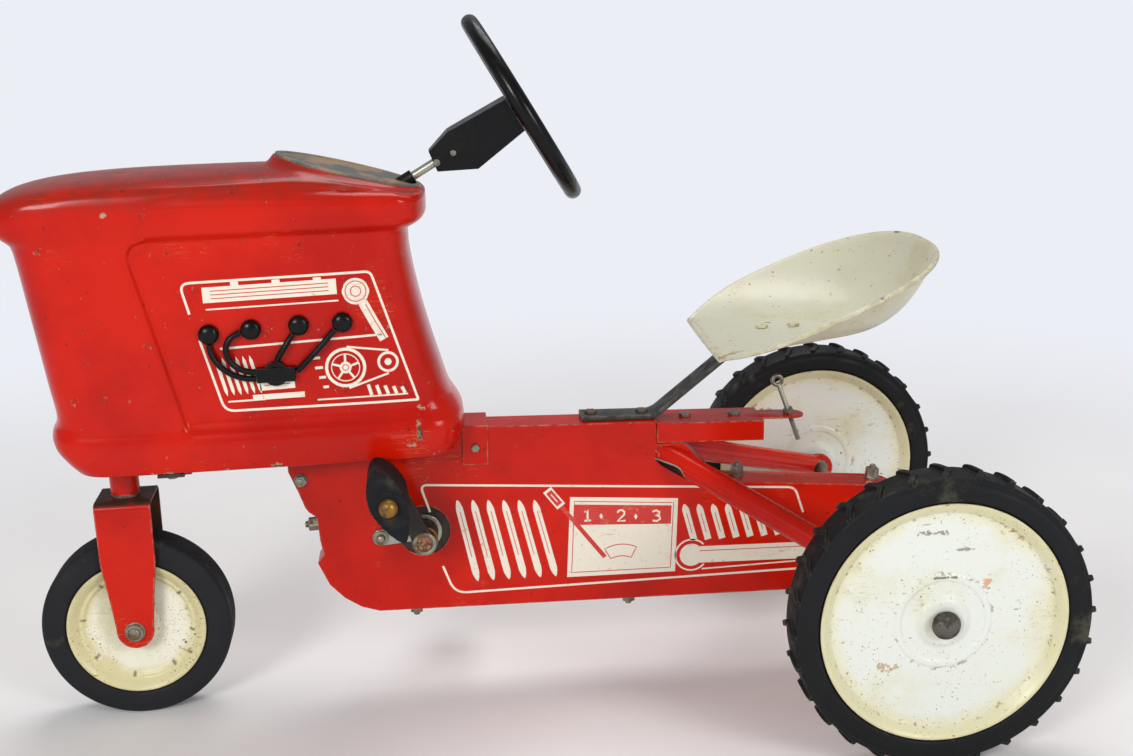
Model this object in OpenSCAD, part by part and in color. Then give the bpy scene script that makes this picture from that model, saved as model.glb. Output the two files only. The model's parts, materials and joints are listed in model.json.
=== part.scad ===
/* [Wheels] */
// Distance from the front axle to the rear axle
wheelbase = 713.5; // [690:0.5:760]
// Distance between the middles of the rear wheels
track = 440; // [425:1:470]
// Rear tyre's diameter over its lugs
rear_tyre_d = 266.7; // [260:0.1:274]
// Front tyre's diameter
front_tyre_d = 177.8; // [172:0.1:184]
// Rear tyre's width
rear_tyre_w = 38; // [35:0.5:40]
// Front tyre's width
front_tyre_w = 42; // [39:0.5:43]
// Diameter of the rear disc's rolled lip
rear_rim_d = 216; // [206:1:222]
// Diameter of the front disc's rolled lip
front_rim_d = 130; // [122:1:136]
// Height of a rear lug over the tread
lug_h = 3.6; // [2.5:0.1:5]
// Lugs in each of a rear tyre's two rows, a multiple of 4
lug_count = 28; // [24:4:32]
// Thickness of the pressed discs
disc_sheet = 1.2; // [0.8:0.1:1.6]

/* [Shafts and fits] */
// Rear axle's diameter
rear_axle_d = 12.7; // [11:0.1:14]
// Front axle bolt's diameter
front_axle_d = 9.5; // [8:0.1:11]
// Crank axle's diameter
crank_axle_d = 12; // [11:0.1:13]
// Pedal spindle's diameter
spindle_d = 9.5; // [8.5:0.1:10.5]
// Steering rod's diameter
rod_d = 8; // [7:0.1:9]
// Fork stem's diameter
stem_d = 16; // [15:0.1:17]
// Radial clearance of a shaft in its bush
run_gap = 0.05; // [0.03:0.01:0.08]
// Clearance between pieces that seat on each other
seat_gap = 0.15; // [0.1:0.05:0.25]

/* [Frame] */
// Width of the beam
beam_w = 30; // [26:1:34]
// Height of the beam
beam_h = 32; // [28:1:34]
// Height of the beam's top at the saddle
beam_top_z = 259; // [255:0.5:264]
// Fall of the beam toward the rear, degrees
beam_tilt = 2; // [1:0.25:2.5]
// Thickness of the pressed sheet
sheet = 1.2; // [1:0.1:1.5]
// Width over the chain case
case_w = 42; // [40:0.5:46]
// Width over the fork's legs
fork_w = 55; // [54:0.5:60]
// Height of the fork's crown
fork_top_z = 216.5; // [212:0.5:220]
// Diameter of the axle struts
strut_d = 23; // [20:0.5:25]

/* [Pedals and chain] */
// Height of the crank axle
crank_z = 168.2; // [162:0.1:174]
// Wanted distance from the crank axle to the rear axle
crank_reach = 437.8; // [428:0.1:450]
// Crank arm's length, axle to pedal spindle
arm_len = 70; // [64:0.5:74]
// Length of a pedal along its spindle
pedal_len = 55; // [50:1:60]
// Chain pitch, 3/8 inch
pitch = 9.525; // [9.4:0.005:9.65]
// Teeth of the chainwheel, a multiple of 4
wheel_teeth = 28; // [24:4:32]
// Teeth of the rear sprocket, a multiple of 4
sprocket_teeth = 16; // [12:4:20]

/* [Steering] */
// Steering wheel's outer diameter
steer_d = 190.5; // [180:0.5:204]
// Thickness of the steering wheel's ring
ring_d = 15.5; // [13:0.5:18]
// Slope of the steering rod above the horizontal, degrees
rod_slope = 29.5; // [28.5:0.25:30.5]
// Height of the steering wheel's centre
steer_z = 560; // [556:0.5:564]
// Steering wheel's centre behind the fork stem's axis
steer_back = 387.7; // [382:0.1:394]

/* [Bonnet] */
// Half the width of the bonnet's top bead
bead_half = 68; // [66:0.5:72]
// Half the width of the bonnet's front band
band_half = 64; // [62.5:0.5:65]
// Half the width of the recessed side panel
panel_half = 58.5; // [56.5:0.5:61]
// Height of the bonnet's bottom edge
skirt_z = 253; // [250:0.5:256]
// Height of the crease under the top bead
bead_z = 466; // [460:0.5:470]
// Height of the top bead's widest line
edge_z = 485; // [482:0.5:490]
// Reach of the nose ahead of the fork stem's axis
nose_reach = 86.5; // [82:0.5:88.5]
// Thickness of the bonnet's sheet
bonnet_sheet = 1.5; // [1.2:0.1:2]

/* [Seat] */
// Half the width of the seat pan
seat_half = 127; // [118:1:136]
// Reach of the pan's front edge ahead of the rear axle
seat_front = 160; // [152:1:168]
// Reach of the pan's back behind the rear axle
seat_back = 50; // [42:1:60]
// Height of the pan's floor
seat_z = 343; // [338:0.5:352]
// Height of the pan's rim at the back
seat_back_z = 420; // [405:1:432]
// Width of the flat bar under the seat
bar_w = 27; // [24:0.5:30]
// Thickness of the flat bar
bar_t = 4.5; // [4:0.1:5.5]

/* [Hidden] */
$fn = 48;

red = [0.78, 0.1, 0.06];
cream = [0.9, 0.88, 0.8];
black = [0.05, 0.05, 0.05];
steel = [0.55, 0.55, 0.53];
dark_steel = [0.3, 0.29, 0.28];
brass = [0.72, 0.55, 0.25];
eps = 0.01;

rear_r = rear_tyre_d / 2;
front_r = front_tyre_d / 2;
rear_x = (wheelbase + front_r - rear_r) / 2;
front_x = rear_x - wheelbase;

// Chain: the number of links comes from the wanted distance, and the true distance from the links
wheel_r = pitch / (2 * sin(180 / wheel_teeth));
sprocket_r = pitch / (2 * sin(180 / sprocket_teeth));
tooth_sum = wheel_teeth + sprocket_teeth;
tooth_step = (wheel_teeth - sprocket_teeth) / (2 * PI);
links = 2 * round(crank_reach / pitch + tooth_sum / 4 + tooth_step * tooth_step * pitch / crank_reach / 2);
chain_rest = 2 * links - tooth_sum;
chain_c = pitch / 8 * (chain_rest + sqrt(chain_rest * chain_rest - 32 * tooth_step * tooth_step));
crank_x = rear_x - sqrt(chain_c * chain_c - (crank_z - rear_r) * (crank_z - rear_r));
strand_tilt = asin((wheel_r - sprocket_r) / chain_c);
chain_slope = atan2(rear_r - crank_z, rear_x - crank_x);
wheel_part = wheel_teeth * (180 + 2 * strand_tilt) / 360;
sprocket_part = sprocket_teeth * (180 - 2 * strand_tilt) / 360;
strand_part = (links - wheel_part - sprocket_part) / 2;
strand_len = chain_c * cos(strand_tilt);
roller_r = pitch / 3;
plate_t = 1;
inner_half = 2.4;
pin_r = 1.6;
link_gap = 0.15;

// Heights along the falling beam
saddle_x = rear_x - 211;
saddle_len = 103;
tongue_len = 43;
function beam_top(x) = beam_top_z + (saddle_x - x) * tan(beam_tilt);
skin_lift = 2 * (sheet + seat_gap);
function skin_top(x) = beam_top(x) + skin_lift;

function vec_len(v) = sqrt(v * v);
function unit(v) = v / vec_len(v);
function smooth(t) = let (c = min(max(t, 0), 1)) c * c * (3 - 2 * c);
function arc_points(cx, cz, r, from, to, steps) =
    [for (i = [0:steps]) let (a = from + (to - from) * i / steps) [cx + r * cos(a), cz + r * sin(a)]];

// A closed outline that runs clockwise, drawn in by d
function inset(p, d) = [for (i = [0:len(p) - 1]) let (
    e = unit(p[i] - p[(i + len(p) - 1) % len(p)]),
    f = unit(p[(i + 1) % len(p)] - p[i]),
    n = [e[1], -e[0]],
    m = [f[1], -f[0]]
) p[i] + (n + m) * d / (1 + n * m)];

// An open line of sheet metal, thickened by t on its left side
function thicken(p, t) = let (last = len(p) - 1, side = [for (i = [0:last]) let (
    e = unit(p[i] - p[max(i - 1, 0)] + (i == 0 ? p[1] - p[0] : [0, 0])),
    f = unit(p[min(i + 1, last)] - p[i] + (i == last ? p[last] - p[last - 1] : [0, 0])),
    n = [-e[1], e[0]],
    m = [-f[1], f[0]]
) p[i] + (n + m) * t / (1 + n * m)]) concat(p, [for (i = [last:-1:0]) side[i]]);

module along_y(r, from, to) {
    translate([0, from, 0]) rotate([-90, 0, 0]) cylinder(h = to - from, r = r);
}

module plate_y(points, from, to) {
    translate([0, to, 0]) rotate([90, 0, 0]) linear_extrude(to - from) polygon(points);
}

module spin_y(profile) {
    rotate([-90, 0, 0]) rotate_extrude() polygon(profile);
}

module both_sides() {
    children();
    mirror([0, 1, 0]) children();
}

module hex(across, h) {
    cylinder(h = h, r = across / 2 / cos(30), $fn = 6);
}

// A hex bolt whose head sits on the plane z = 0, with its shank below and a nut at the given grip
module bolt(d, grip, head = 1) {
    hex(1.75 * d, 0.65 * d * head);
    translate([0, 0, -grip - 0.9 * d]) cylinder(h = grip + 0.9 * d + eps, r = d / 2);
    translate([0, 0, -grip - 0.75 * d]) hex(1.75 * d, 0.75 * d);
}

// Backbone: rectangular tube with the head tube welded into its front end
head_tube_r = 13.5;
head_wall = 3;
flange_t = 2.4;
head_low = fork_top_z + 2 * seat_gap + flange_t;
head_high = beam_top(front_x) + 46;
beam_wall = 2;
beam_rear = saddle_x + saddle_len - 6;
rear_beam_h = 17;
bar_bolt_d = 6;
bar_bolts = [saddle_x - 61, saddle_x - 12];
saddle_bolts_x = [saddle_x + 30, saddle_x + saddle_len - 25];
clip_x = front_x + 54;
bracket_x = front_x + 75;
bracket_bolts = [bracket_x - 9, bracket_x + 9];
clip_bolt_d = 5;

module beam_frame() {
    translate([saddle_x, 0, beam_top_z]) rotate([0, beam_tilt, 0]) children();
}

module beam_box(x0, x1, w, top, low) {
    beam_frame() translate([x0 - saddle_x, -w / 2, -low]) cube([x1 - x0, w, low - top]);
}

module beam_hole(x, r) {
    translate([x, 0, beam_top(x)]) rotate([0, beam_tilt, 0]) translate([0, 0, -beam_h - 20])
        cylinder(h = beam_h + 40, r = r);
}

module backbone() {
    color(red) difference() {
        union() {
            difference() {
                beam_box(front_x, beam_rear, beam_w, 0, beam_h);
                beam_box(front_x + 20, beam_rear + 5, beam_w - 2 * beam_wall, beam_wall, beam_h - beam_wall);
                beam_box(saddle_x - 5, beam_rear + 5, beam_w + 2, rear_beam_h, beam_h + 5);
            }
            translate([front_x, 0, head_low]) cylinder(h = head_high - head_low, r = head_tube_r);
        }
        translate([front_x, 0, head_low - 1])
            cylinder(h = head_high - head_low + 2, r = head_tube_r - head_wall);
        for (x = concat(bar_bolts, saddle_bolts_x)) beam_hole(x, bar_bolt_d / 2 + seat_gap);
        translate([clip_x, 0, beam_top(clip_x) - beam_h - 10])
            cylinder(h = 20, r = clip_bolt_d / 2 + seat_gap);
        for (x = bracket_bolts) beam_hole(x, clip_bolt_d / 2 + seat_gap);
        translate([lug_bolt[0], 0, lug_bolt[1]]) along_y(case_bolt_d / 2 + seat_gap, -beam_w, beam_w);
    }
}

module bush(bore, outer, flange, tube_len) {
    difference() {
        union() {
            cylinder(h = flange_t, r = flange);
            translate([0, 0, flange_t - eps]) cylinder(h = tube_len + eps, r = outer);
        }
        translate([0, 0, -1]) cylinder(h = flange_t + tube_len + 2, r = bore);
    }
}

module head_bushes() {
    bush_out = head_tube_r - head_wall - run_gap;
    color(steel) {
        translate([front_x, 0, fork_top_z + seat_gap])
            bush(stem_d / 2 + run_gap, bush_out, head_tube_r, 14);
        translate([front_x, 0, head_high + seat_gap + flange_t]) rotate([180, 0, 0])
            bush(stem_d / 2 + run_gap, bush_out, head_tube_r, 14);
    }
}

// Chain case: two pressed halves, the right one's flange inside the left one's
case_front = crank_x - 123;
saddle_side_z = beam_top_z - 18;
rear_top_fall = 0.0895;
rear_top_z = rear_r + 51.6;
function rear_top(x) = rear_top_z - (x - rear_x) * rear_top_fall;
case_round = 51.6;
bottom_from = [crank_x - 47, crank_z - 79];
bottom_to = [rear_x - 72, rear_r - case_round - 0.6];
function case_bottom(x) = bottom_from[1] + (bottom_to[1] - bottom_from[1])
    * (x - bottom_from[0]) / (bottom_to[0] - bottom_from[0]);
case_outline = concat(
    [
        [case_front, skin_top(case_front)],
        [saddle_x - seat_gap, skin_top(saddle_x)],
        [saddle_x - seat_gap, saddle_side_z - 1],
        [saddle_x + 25, saddle_side_z - 1],
        [rear_x - 150, rear_top(rear_x - 150)],
    ],
    arc_points(rear_x, rear_r, case_round, 78, -88, 14),
    [bottom_to, bottom_from],
    [for (p = [
        [-63.9, -73.5], [-79.3, -63.2], [-92.6, -48.7], [-102.2, -26.5], [-101, -22.6], [-96, -18.9],
        [-98.6, -2.5], [-99.6, 19.8], [-106.6, 25.2], [-110.1, 30.4], [-116.1, 48.8], [-123, 66.8],
    ]) [crank_x + p[0], crank_z + p[1]]]
);
lap = 4;
case_hole_r = 24.5;
case_bolt_d = 4;
adjuster_d = 6;
adjuster_at = [crank_x - 41.2, crank_z - 3.6];
axle_bush_r = rear_axle_d / 2 + 3.2;
cross_bolt = [case_front + 11, crank_z + 58];
bonnet_tail = front_x + 279;
// Flange screws: place on the outline and the way the head points
bottom_slope = atan2(bottom_to[1] - bottom_from[1], bottom_to[0] - bottom_from[0]);
flange_screws = [
    [crank_x - 99, crank_z + 7, 182.5],
    [crank_x - 12, case_bottom(crank_x - 12), bottom_slope - 90],
    [rear_x - 240, case_bottom(rear_x - 240), bottom_slope - 90],
    [rear_x - 131, rear_top(rear_x - 131), 90 - atan(rear_top_fall)],
    [rear_x + 4, rear_top(rear_x + 4), 90 - atan(rear_top_fall)],
];
strut_from = [rear_x - 197.5, 225.5];
lug_bolt = [bonnet_tail + 50.5, 248];

module case_half(outline) {
    difference() {
        plate_y(outline, -case_w / 2, lap);
        plate_y(inset(outline, sheet), -case_w / 2 + sheet, lap + 1);
        beam_box(case_front - 10, case_front + 14, beam_w + 1, -1, beam_h + 1);
        beam_box(saddle_x - 4, saddle_x + 4, beam_w + 1, -1, rear_beam_h + 0.5);
    }
}

module case_drillings() {
    deep = case_w;
    translate([crank_x, 0, crank_z]) along_y(case_hole_r, -deep, 0);
    translate([rear_x, 0, rear_r]) along_y(axle_bush_r + seat_gap, -deep, 0);
    translate([cross_bolt[0], 0, cross_bolt[1]]) along_y(case_bolt_d / 2 + seat_gap, -deep, 0);
    translate([strut_bolt_at[0], 0, strut_bolt_at[1]]) along_y(strut_bolt_d / 2 + seat_gap, -deep, 0);
    translate([lug_bolt[0], 0, lug_bolt[1]]) along_y(case_bolt_d / 2 + seat_gap, -deep, 0);
    translate([adjuster_at[0], 0, adjuster_at[1]]) along_y(adjuster_d / 2 + seat_gap, -deep, 0);
    for (s = flange_screws) translate([s[0], 0, s[1]]) rotate([0, 90 - s[2], 0])
        translate([0, 0, -6]) cylinder(h = 12, r = case_bolt_d / 2 + seat_gap);
    for (x = bar_bolts) beam_hole(x, bar_bolt_d / 2 + seat_gap);
}

module case_left() {
    color(red) difference() {
        case_half(case_outline);
        case_drillings();
    }
}

module case_right() {
    color(red) mirror([0, 1, 0]) difference() {
        case_half(inset(case_outline, sheet + seat_gap));
        case_drillings();
    }
}

module case_screws() {
    grip = 2 * sheet + seat_gap + 0.3;
    color(steel) {
        for (s = flange_screws) translate([s[0], 0, s[1]]) rotate([0, 90 - s[2], 0])
            translate([0, 0, seat_gap]) bolt(case_bolt_d, grip + seat_gap);
        translate([cross_bolt[0], -case_w / 2 - seat_gap, cross_bolt[1]]) rotate([90, 0, 0])
            bolt(case_bolt_d, case_w + 2 * seat_gap, 0.9);
    }
}

// Saddle: inverted channel over the beam's rear end, with the hitch tongue
saddle_wall = 1.8;
saddle_half = case_w / 2 + 2;
tongue_half = 13;
tongue_hole_d = 5;
pin_tilt = 19;
pin_low = 24;
pin_len = 60;
pin_at = [saddle_x + saddle_len + 30.6, beam_top_z - 7];

module saddle() {
    color(red) difference() {
        union() {
            difference() {
                beam_box(saddle_x, saddle_x + saddle_len, 2 * saddle_half, -seat_gap - saddle_wall, 17.5);
                beam_box(saddle_x - 1, saddle_x + saddle_len + 1, 2 * (saddle_half - saddle_wall),
                    -seat_gap, 19);
            }
            beam_box(saddle_x + saddle_len - 12, saddle_x + saddle_len + tongue_len - tongue_half,
                2 * tongue_half, -seat_gap - saddle_wall, -seat_gap);
            beam_frame() translate([saddle_len + tongue_len - tongue_half, 0, seat_gap])
                cylinder(h = saddle_wall, r = tongue_half);
        }
        for (x = saddle_bolts_x) beam_hole(x, bar_bolt_d / 2 + seat_gap);
        translate([pin_at[0], 0, pin_at[1]]) rotate([0, -pin_tilt, 0])
            translate([0, 0, -20]) cylinder(h = 40, r = tongue_hole_d / 2 + seat_gap);
    }
}

module saddle_bolts() {
    color(steel) for (x = saddle_bolts_x) translate([x, 0, beam_top(x)]) rotate([0, beam_tilt, 0])
        translate([0, 0, saddle_wall + 2 * seat_gap])
            bolt(bar_bolt_d, saddle_wall + beam_wall + 4 * seat_gap, 0.7);
}

module hitch_pin() {
    collar_r = tongue_hole_d / 2 + 2.5;
    shank_r = tongue_hole_d / 2 - 0.25;
    tongue_top = beam_top(pin_at[0]) + (seat_gap + saddle_wall) / cos(beam_tilt);
    collar_s = (tongue_top - pin_at[1] + collar_r * (sin(pin_tilt) + tan(beam_tilt) * cos(pin_tilt)))
        / (cos(pin_tilt) - tan(beam_tilt) * sin(pin_tilt)) + 0.1;
    color(steel) translate([pin_at[0], 0, pin_at[1]]) rotate([0, -pin_tilt, 0]) {
        translate([0, 0, -pin_low]) cylinder(h = pin_len, r = shank_r);
        translate([0, 0, collar_s]) cylinder(h = 3, r = collar_r);
        translate([0, 0, 40]) rotate([90, 0, 0]) rotate_extrude()
            translate([4.5, 0]) circle(r = shank_r - 0.3);
    }
}

// Axle struts: round tubes from the case's sides out to ears that carry the axle
ear_y = track / 2 - rear_tyre_w / 2 - 10;
ear_t = 4;
strut_bolt_d = 6;
strut_foot_t = 2.5;
strut_top = [strut_from[0], -(case_w / 2 + seat_gap), strut_from[1]];
strut_end = [rear_x, -(ear_y + 6), rear_r];
strut_fall = 35;
strut_bolt_at = [strut_from[0] + 5 * cos(strut_fall), strut_from[1] - 5 * sin(strut_fall)];

module rod_between(a, b, r) {
    d = b - a;
    turn = atan2(d[1], d[0]);
    lean = atan2(sqrt(d[0] * d[0] + d[1] * d[1]), d[2]);
    translate(a) rotate([0, lean, turn]) cylinder(h = vec_len(d), r = r);
}

// Each strut is cut flat against the case, has a foot plate inside it, and a slot below its front end
module one_strut() {
    along = unit(strut_end - strut_top) * strut_d;
    reach = 40;
    difference() {
        union() {
            difference() {
                rod_between(strut_top - along, strut_end + along, strut_d / 2);
                difference() {
                    rod_between(strut_top - along, strut_end - along, strut_d / 2 - 2);
                    translate([strut_top[0] - 100, strut_top[1] - strut_foot_t, strut_top[2] - 60])
                        cube([160, 80, 120]);
                }
                translate([strut_top[0] - 100, strut_top[1], strut_top[2] - 60]) cube([160, 80, 120]);
                translate([rear_x - 100, -ear_y - ear_t / 2 - 60, 0]) cube([200, 60, 2 * rear_r]);
            }
            translate([rear_x, 0, rear_r]) along_y(axle_bush_r + 6, -ear_y - ear_t / 2, -ear_y + ear_t / 2);
        }
        translate([rear_x, 0, rear_r]) along_y(axle_bush_r + seat_gap, -ear_y - reach, -ear_y + reach);
        translate([strut_bolt_at[0], 0, strut_bolt_at[1]])
            along_y(strut_bolt_d / 2 + seat_gap, strut_top[1] - strut_foot_t - 1, strut_top[1] + 1);
        translate(strut_top) rotate([0, strut_fall, 0]) translate([0, 0, -14])
            linear_extrude(11) polygon([[-30, 1], [-30, -10], [-4, 1]]);
    }
}

module axle_struts() {
    color(red) both_sides() one_strut();
}

module strut_bolts() {
    end = -strut_top[1] + strut_foot_t + seat_gap;
    color(steel) translate([strut_bolt_at[0], -end, strut_bolt_at[1]]) rotate([90, 0, 0])
        bolt(strut_bolt_d, 2 * end);
}

// Bonnet: a pressed shell, swept through level rings that widen and narrow with height
dash_x = front_x + 228.5;
dash_half_l = 66;
dash_half_w = 45;
dash_fall = 15.3;
dash_z = 510.5;
function dash_plane(x) = dash_z - (x - dash_x) * tan(dash_fall);
bonnet_mid = front_x + 128.5;
front_lean = 0.136;
skirt_top_z = skirt_z + 43;

// Front and rear ends of the ring at height z, before beads
function panel_nose(z) = front_x - 48.5 - (z - skirt_top_z - 9) * front_lean;
function panel_tail(z) = bonnet_tail + 34 * pow(1 - min(max((z - skirt_top_z) / 150, 0), 1), 1.4);
edge_reach = nose_reach - (front_x - panel_nose(edge_z));
// Levels: height, half width, reach beyond the panel's nose, reach beyond its tail, recess share
levels = [
    [skirt_z, panel_half + 1.5, -12, -5, 0],
    [skirt_z + 0.8, band_half - 1.5, -8, -1, 0],
    [skirt_z + 5, band_half + 0.5, -4, 2, 0],
    [skirt_z + 13, band_half + 2, 2, 6, 0],
    [skirt_z + 25, band_half + 2.5, 8, 8, 0],
    [skirt_z + 34, band_half + 1.5, 8.5, 7, 0.1],
    [skirt_z + 40, band_half + 0.3, 6.5, 4.5, 0.55],
    [skirt_z + 46, band_half, 2.5, 2, 0.9],
    [skirt_z + 53, band_half, 0, 0, 1],
    [skirt_z + 80, band_half, 0, 0, 1],
    [skirt_z + 115, band_half, 0, 0, 1],
    [skirt_z + 155, band_half, 0, 0, 1],
    [skirt_z + 190, band_half, 0, 0, 1],
    [bead_z - 9, band_half, 0.5, 0, 1],
    [bead_z - 4, band_half, 1.5, 3, 0.9],
    [bead_z, band_half + 0.8, 4.5, 10, 0.45],
    [bead_z + 4, bead_half - 1.8, 9, 15, 0],
    [bead_z + 10, bead_half - 0.3, 12.5, 17.5, 0],
    [edge_z, bead_half, edge_reach, 17.7, 0],
];
crown_steps = [0.015, 0.05, 0.11, 0.2, 0.32, 0.5, 0.72, 1];
crown_power = 3.5;
nose_power = 14;
tail_power = 16;
corner_power = 2.6;
end_parts = [0, 0.2, 0.4, 0.6, 0.76, 0.88, 0.95];
ring_half = 2 * len(end_parts) + 10;

function ring_side(x, nose, tail, w) = let (
    u = x < bonnet_mid ? (bonnet_mid - x) / (bonnet_mid - nose) : (x - bonnet_mid) / (tail - bonnet_mid),
    p = x < bonnet_mid ? nose_power : tail_power
) w * pow(1 - pow(min(u, 1), p), 1 / corner_power);
function ring_nose(part, nose) =
    bonnet_mid - (bonnet_mid - nose) * pow(1 - pow(part, corner_power), 1 / nose_power);
function ring_tail(part, tail) =
    bonnet_mid + (tail - bonnet_mid) * pow(1 - pow(part, corner_power), 1 / tail_power);

// Slanting line where the side panel's recess starts, and its depth there
recess_low_x = front_x + 70;
recess_lean = 0.238;
function recess_x(z) = recess_low_x - (z - skirt_top_z - 9) * recess_lean;
recess_parts = [-9, -3, 2, 8];
function recess_depth(x, z, share) =
    (band_half - panel_half) * share * smooth((x - recess_x(z) + 4) / 10);

// Half a ring at one level, from the nose to the tail, as x and y
function half_ring(z, w, nose, tail, share) = concat(
    [for (part = end_parts) [ring_nose(part, nose), w * part]],
    [for (k = [0.82, 0.7]) let (x = bonnet_mid - (bonnet_mid - nose) * k) [x, ring_side(x, nose, tail, w)]],
    [for (k = recess_parts) let (x = recess_x(z) + k)
        [x, ring_side(x, nose, tail, w) - recess_depth(x, z, share)]],
    [for (k = [0.28, 0.52, 0.76, 1]) let (
        from = recess_x(z) + 8,
        x = from + (bonnet_mid + (tail - bonnet_mid) * 0.84 - from) * k
    ) [x, ring_side(x, nose, tail, w) - recess_depth(x, z, share)]],
    [for (i = [len(end_parts) - 1:-1:0]) let (part = end_parts[i])
        [ring_tail(part, tail), part * (w - (band_half - panel_half) * share)]]
);

// A half ring made whole by its mirror image
function whole_ring(h, z) = concat(
    [for (p = h) [p[0], p[1], z]],
    [for (i = [len(h) - 2:-1:1]) [h[i][0], -h[i][1], z]]
);

// Oval foot of the dash on the crown, and the oval itself, at the same stations as a ring
function oval_half(a, b, cx) = [for (i = [0:ring_half - 1])
    let (t = 180 - 180 * i / (ring_half - 1)) [cx + a * cos(t), b * sin(t)]];
foot_half = oval_half(dash_half_l + 6, dash_half_w + 12, dash_x - 4.5);
foot_fall = 0.206;
function foot_z(x) = dash_z - 5.5 - (x - dash_x) * foot_fall;
oval = oval_half(dash_half_l, dash_half_w, dash_x);
lip = oval_half(dash_half_l - 8, dash_half_w - 8, dash_x);
top_ring = let (l = levels[len(levels) - 1])
    half_ring(l[0], l[1], panel_nose(l[0]) - l[2], panel_tail(l[0]) + l[3], l[4]);

function crown(t) = [for (i = [0:ring_half - 1]) let (
    x = top_ring[i][0] * (1 - t) + foot_half[i][0] * t,
    y = top_ring[i][1] * (1 - t) + foot_half[i][1] * t,
    f = pow(1 - pow(1 - t, crown_power), 1 / crown_power)
) [x, y, edge_z + (foot_z(foot_half[i][0]) - edge_z) * f]];
function mirror_ring(h) = concat(h, [for (i = [len(h) - 2:-1:1]) [h[i][0], -h[i][1], h[i][2]]]);
function between(h, g, t, lift) = [for (i = [0:ring_half - 1]) let (
    x = h[i][0] * (1 - t) + g[i][0] * t,
    y = h[i][1] * (1 - t) + g[i][1] * t,
    low = foot_z(foot_half[i][0]),
    high = dash_plane(g[i][0])
) [x, y, low + (high - low) * lift]];

outer_rings = concat(
    [for (l = levels) whole_ring(
        half_ring(l[0], l[1], panel_nose(l[0]) - l[2], panel_tail(l[0]) + l[3], l[4]), l[0])],
    [for (t = crown_steps) mirror_ring(crown(t))],
    [mirror_ring(between(foot_half, oval, 0.55, 0.35))],
    [mirror_ring(between(foot_half, oval, 0.9, 0.85))],
    [mirror_ring(between(foot_half, oval, 1, 1))],
    [mirror_ring([for (p = lip) [p[0], p[1], dash_plane(p[0])]])]
);
ring_len = len(outer_rings[0]);
function ring_normal(g, i, j) = let (
    n = len(g[0]),
    u = g[i][(j + 1) % n] - g[i][(j + n - 1) % n],
    v = g[min(i + 1, len(g) - 1)][j] - g[max(i - 1, 0)][j]
) unit(cross(u, v));

// A closed skin between a grid of rings and the same grid moved along its normals
module shell(g, t) {
    n = len(g[0]);
    m = len(g);
    inner = [for (i = [0:m - 1]) [for (j = [0:n - 1]) g[i][j] + ring_normal(g, i, j) * t]];
    points = concat([for (r = g) each r], [for (r = inner) each r]);
    far = m * n;
    edge = (m - 1) * n;
    skin_faces = [for (i = [0:m - 2]) for (j = [0:n - 1]) let (a = i * n + j, b = i * n + (j + 1) % n)
        each [[a, b + n, a + n], [a, b, b + n]]];
    rim_faces = [for (j = [0:n - 1]) let (k = (j + 1) % n)
        each [
            [j, far + k, k], [j, far + j, far + k],
            [edge + j, edge + k, far + edge + k], [edge + j, far + edge + k, far + edge + j],
        ]];
    inner_faces = [for (f = skin_faces) [far + f[0], far + f[2], far + f[1]]];
    polyhedron(points = points, faces = concat(skin_faces, inner_faces, rim_faces));
}

module bonnet() {
    notch_half = case_w / 2 + 4;
    color(red) difference() {
        shell(outer_rings, bonnet_sheet);
        translate([bonnet_tail, -notch_half, skirt_z - 10]) cube([70, 2 * notch_half, 32]);
    }
}

// Strap over the case behind the bonnet, with its cross bolt
strap_x = [bonnet_tail + 39, bonnet_tail + 63];
strap_t = 1.5;

module rear_strap() {
    inner = case_w + 2 * seat_gap;
    color(red) difference() {
        beam_box(strap_x[0], strap_x[1], inner + 2 * strap_t, -skin_lift - seat_gap - strap_t, 34);
        beam_box(strap_x[0] - 1, strap_x[1] + 1, inner, -skin_lift - seat_gap, 40);
        translate([lug_bolt[0], 0, lug_bolt[1]]) along_y(case_bolt_d / 2 + seat_gap, -case_w, case_w);
    }
}

// Strap across the bonnet's mouth, under the beam, with clamp plates inside the bonnet's lip
clip_w = 24;
clip_t = 3;
clip_end = panel_half + 4;
clip_bolt_y = clip_end - 11;
beam_low = beam_top(clip_x - clip_w / 2) - beam_h / cos(beam_tilt) - 1;

module plate_x(points, from, to) {
    translate([from, 0, 0]) rotate([90, 0, 90]) linear_extrude(to - from) polygon(points);
}

module clip_strap() {
    low = min(beam_low - seat_gap, skirt_z - 7) - clip_t;
    high = skirt_z - seat_gap - clip_t;
    line = [[-clip_end, high], [-clip_end + 22, high], [-beam_w / 2 - 6, low], [beam_w / 2 + 6, low],
        [clip_end - 22, high], [clip_end, high]];
    plate_low = skirt_z + bonnet_sheet + seat_gap;
    from = clip_x - clip_w / 2;
    color(dark_steel) difference() {
        union() {
            plate_x(thicken(line, clip_t), from, from + clip_w);
            both_sides() translate([from + 3, panel_half - 13, plate_low]) cube([clip_w - 6, 14.5, 2.5]);
        }
        translate([clip_x, 0, low - 1]) cylinder(h = clip_t + 2, r = clip_bolt_d / 2 + seat_gap);
        both_sides() translate([clip_x, clip_bolt_y, low]) cylinder(h = 30, r = clip_bolt_d / 2 + seat_gap);
    }
}

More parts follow.
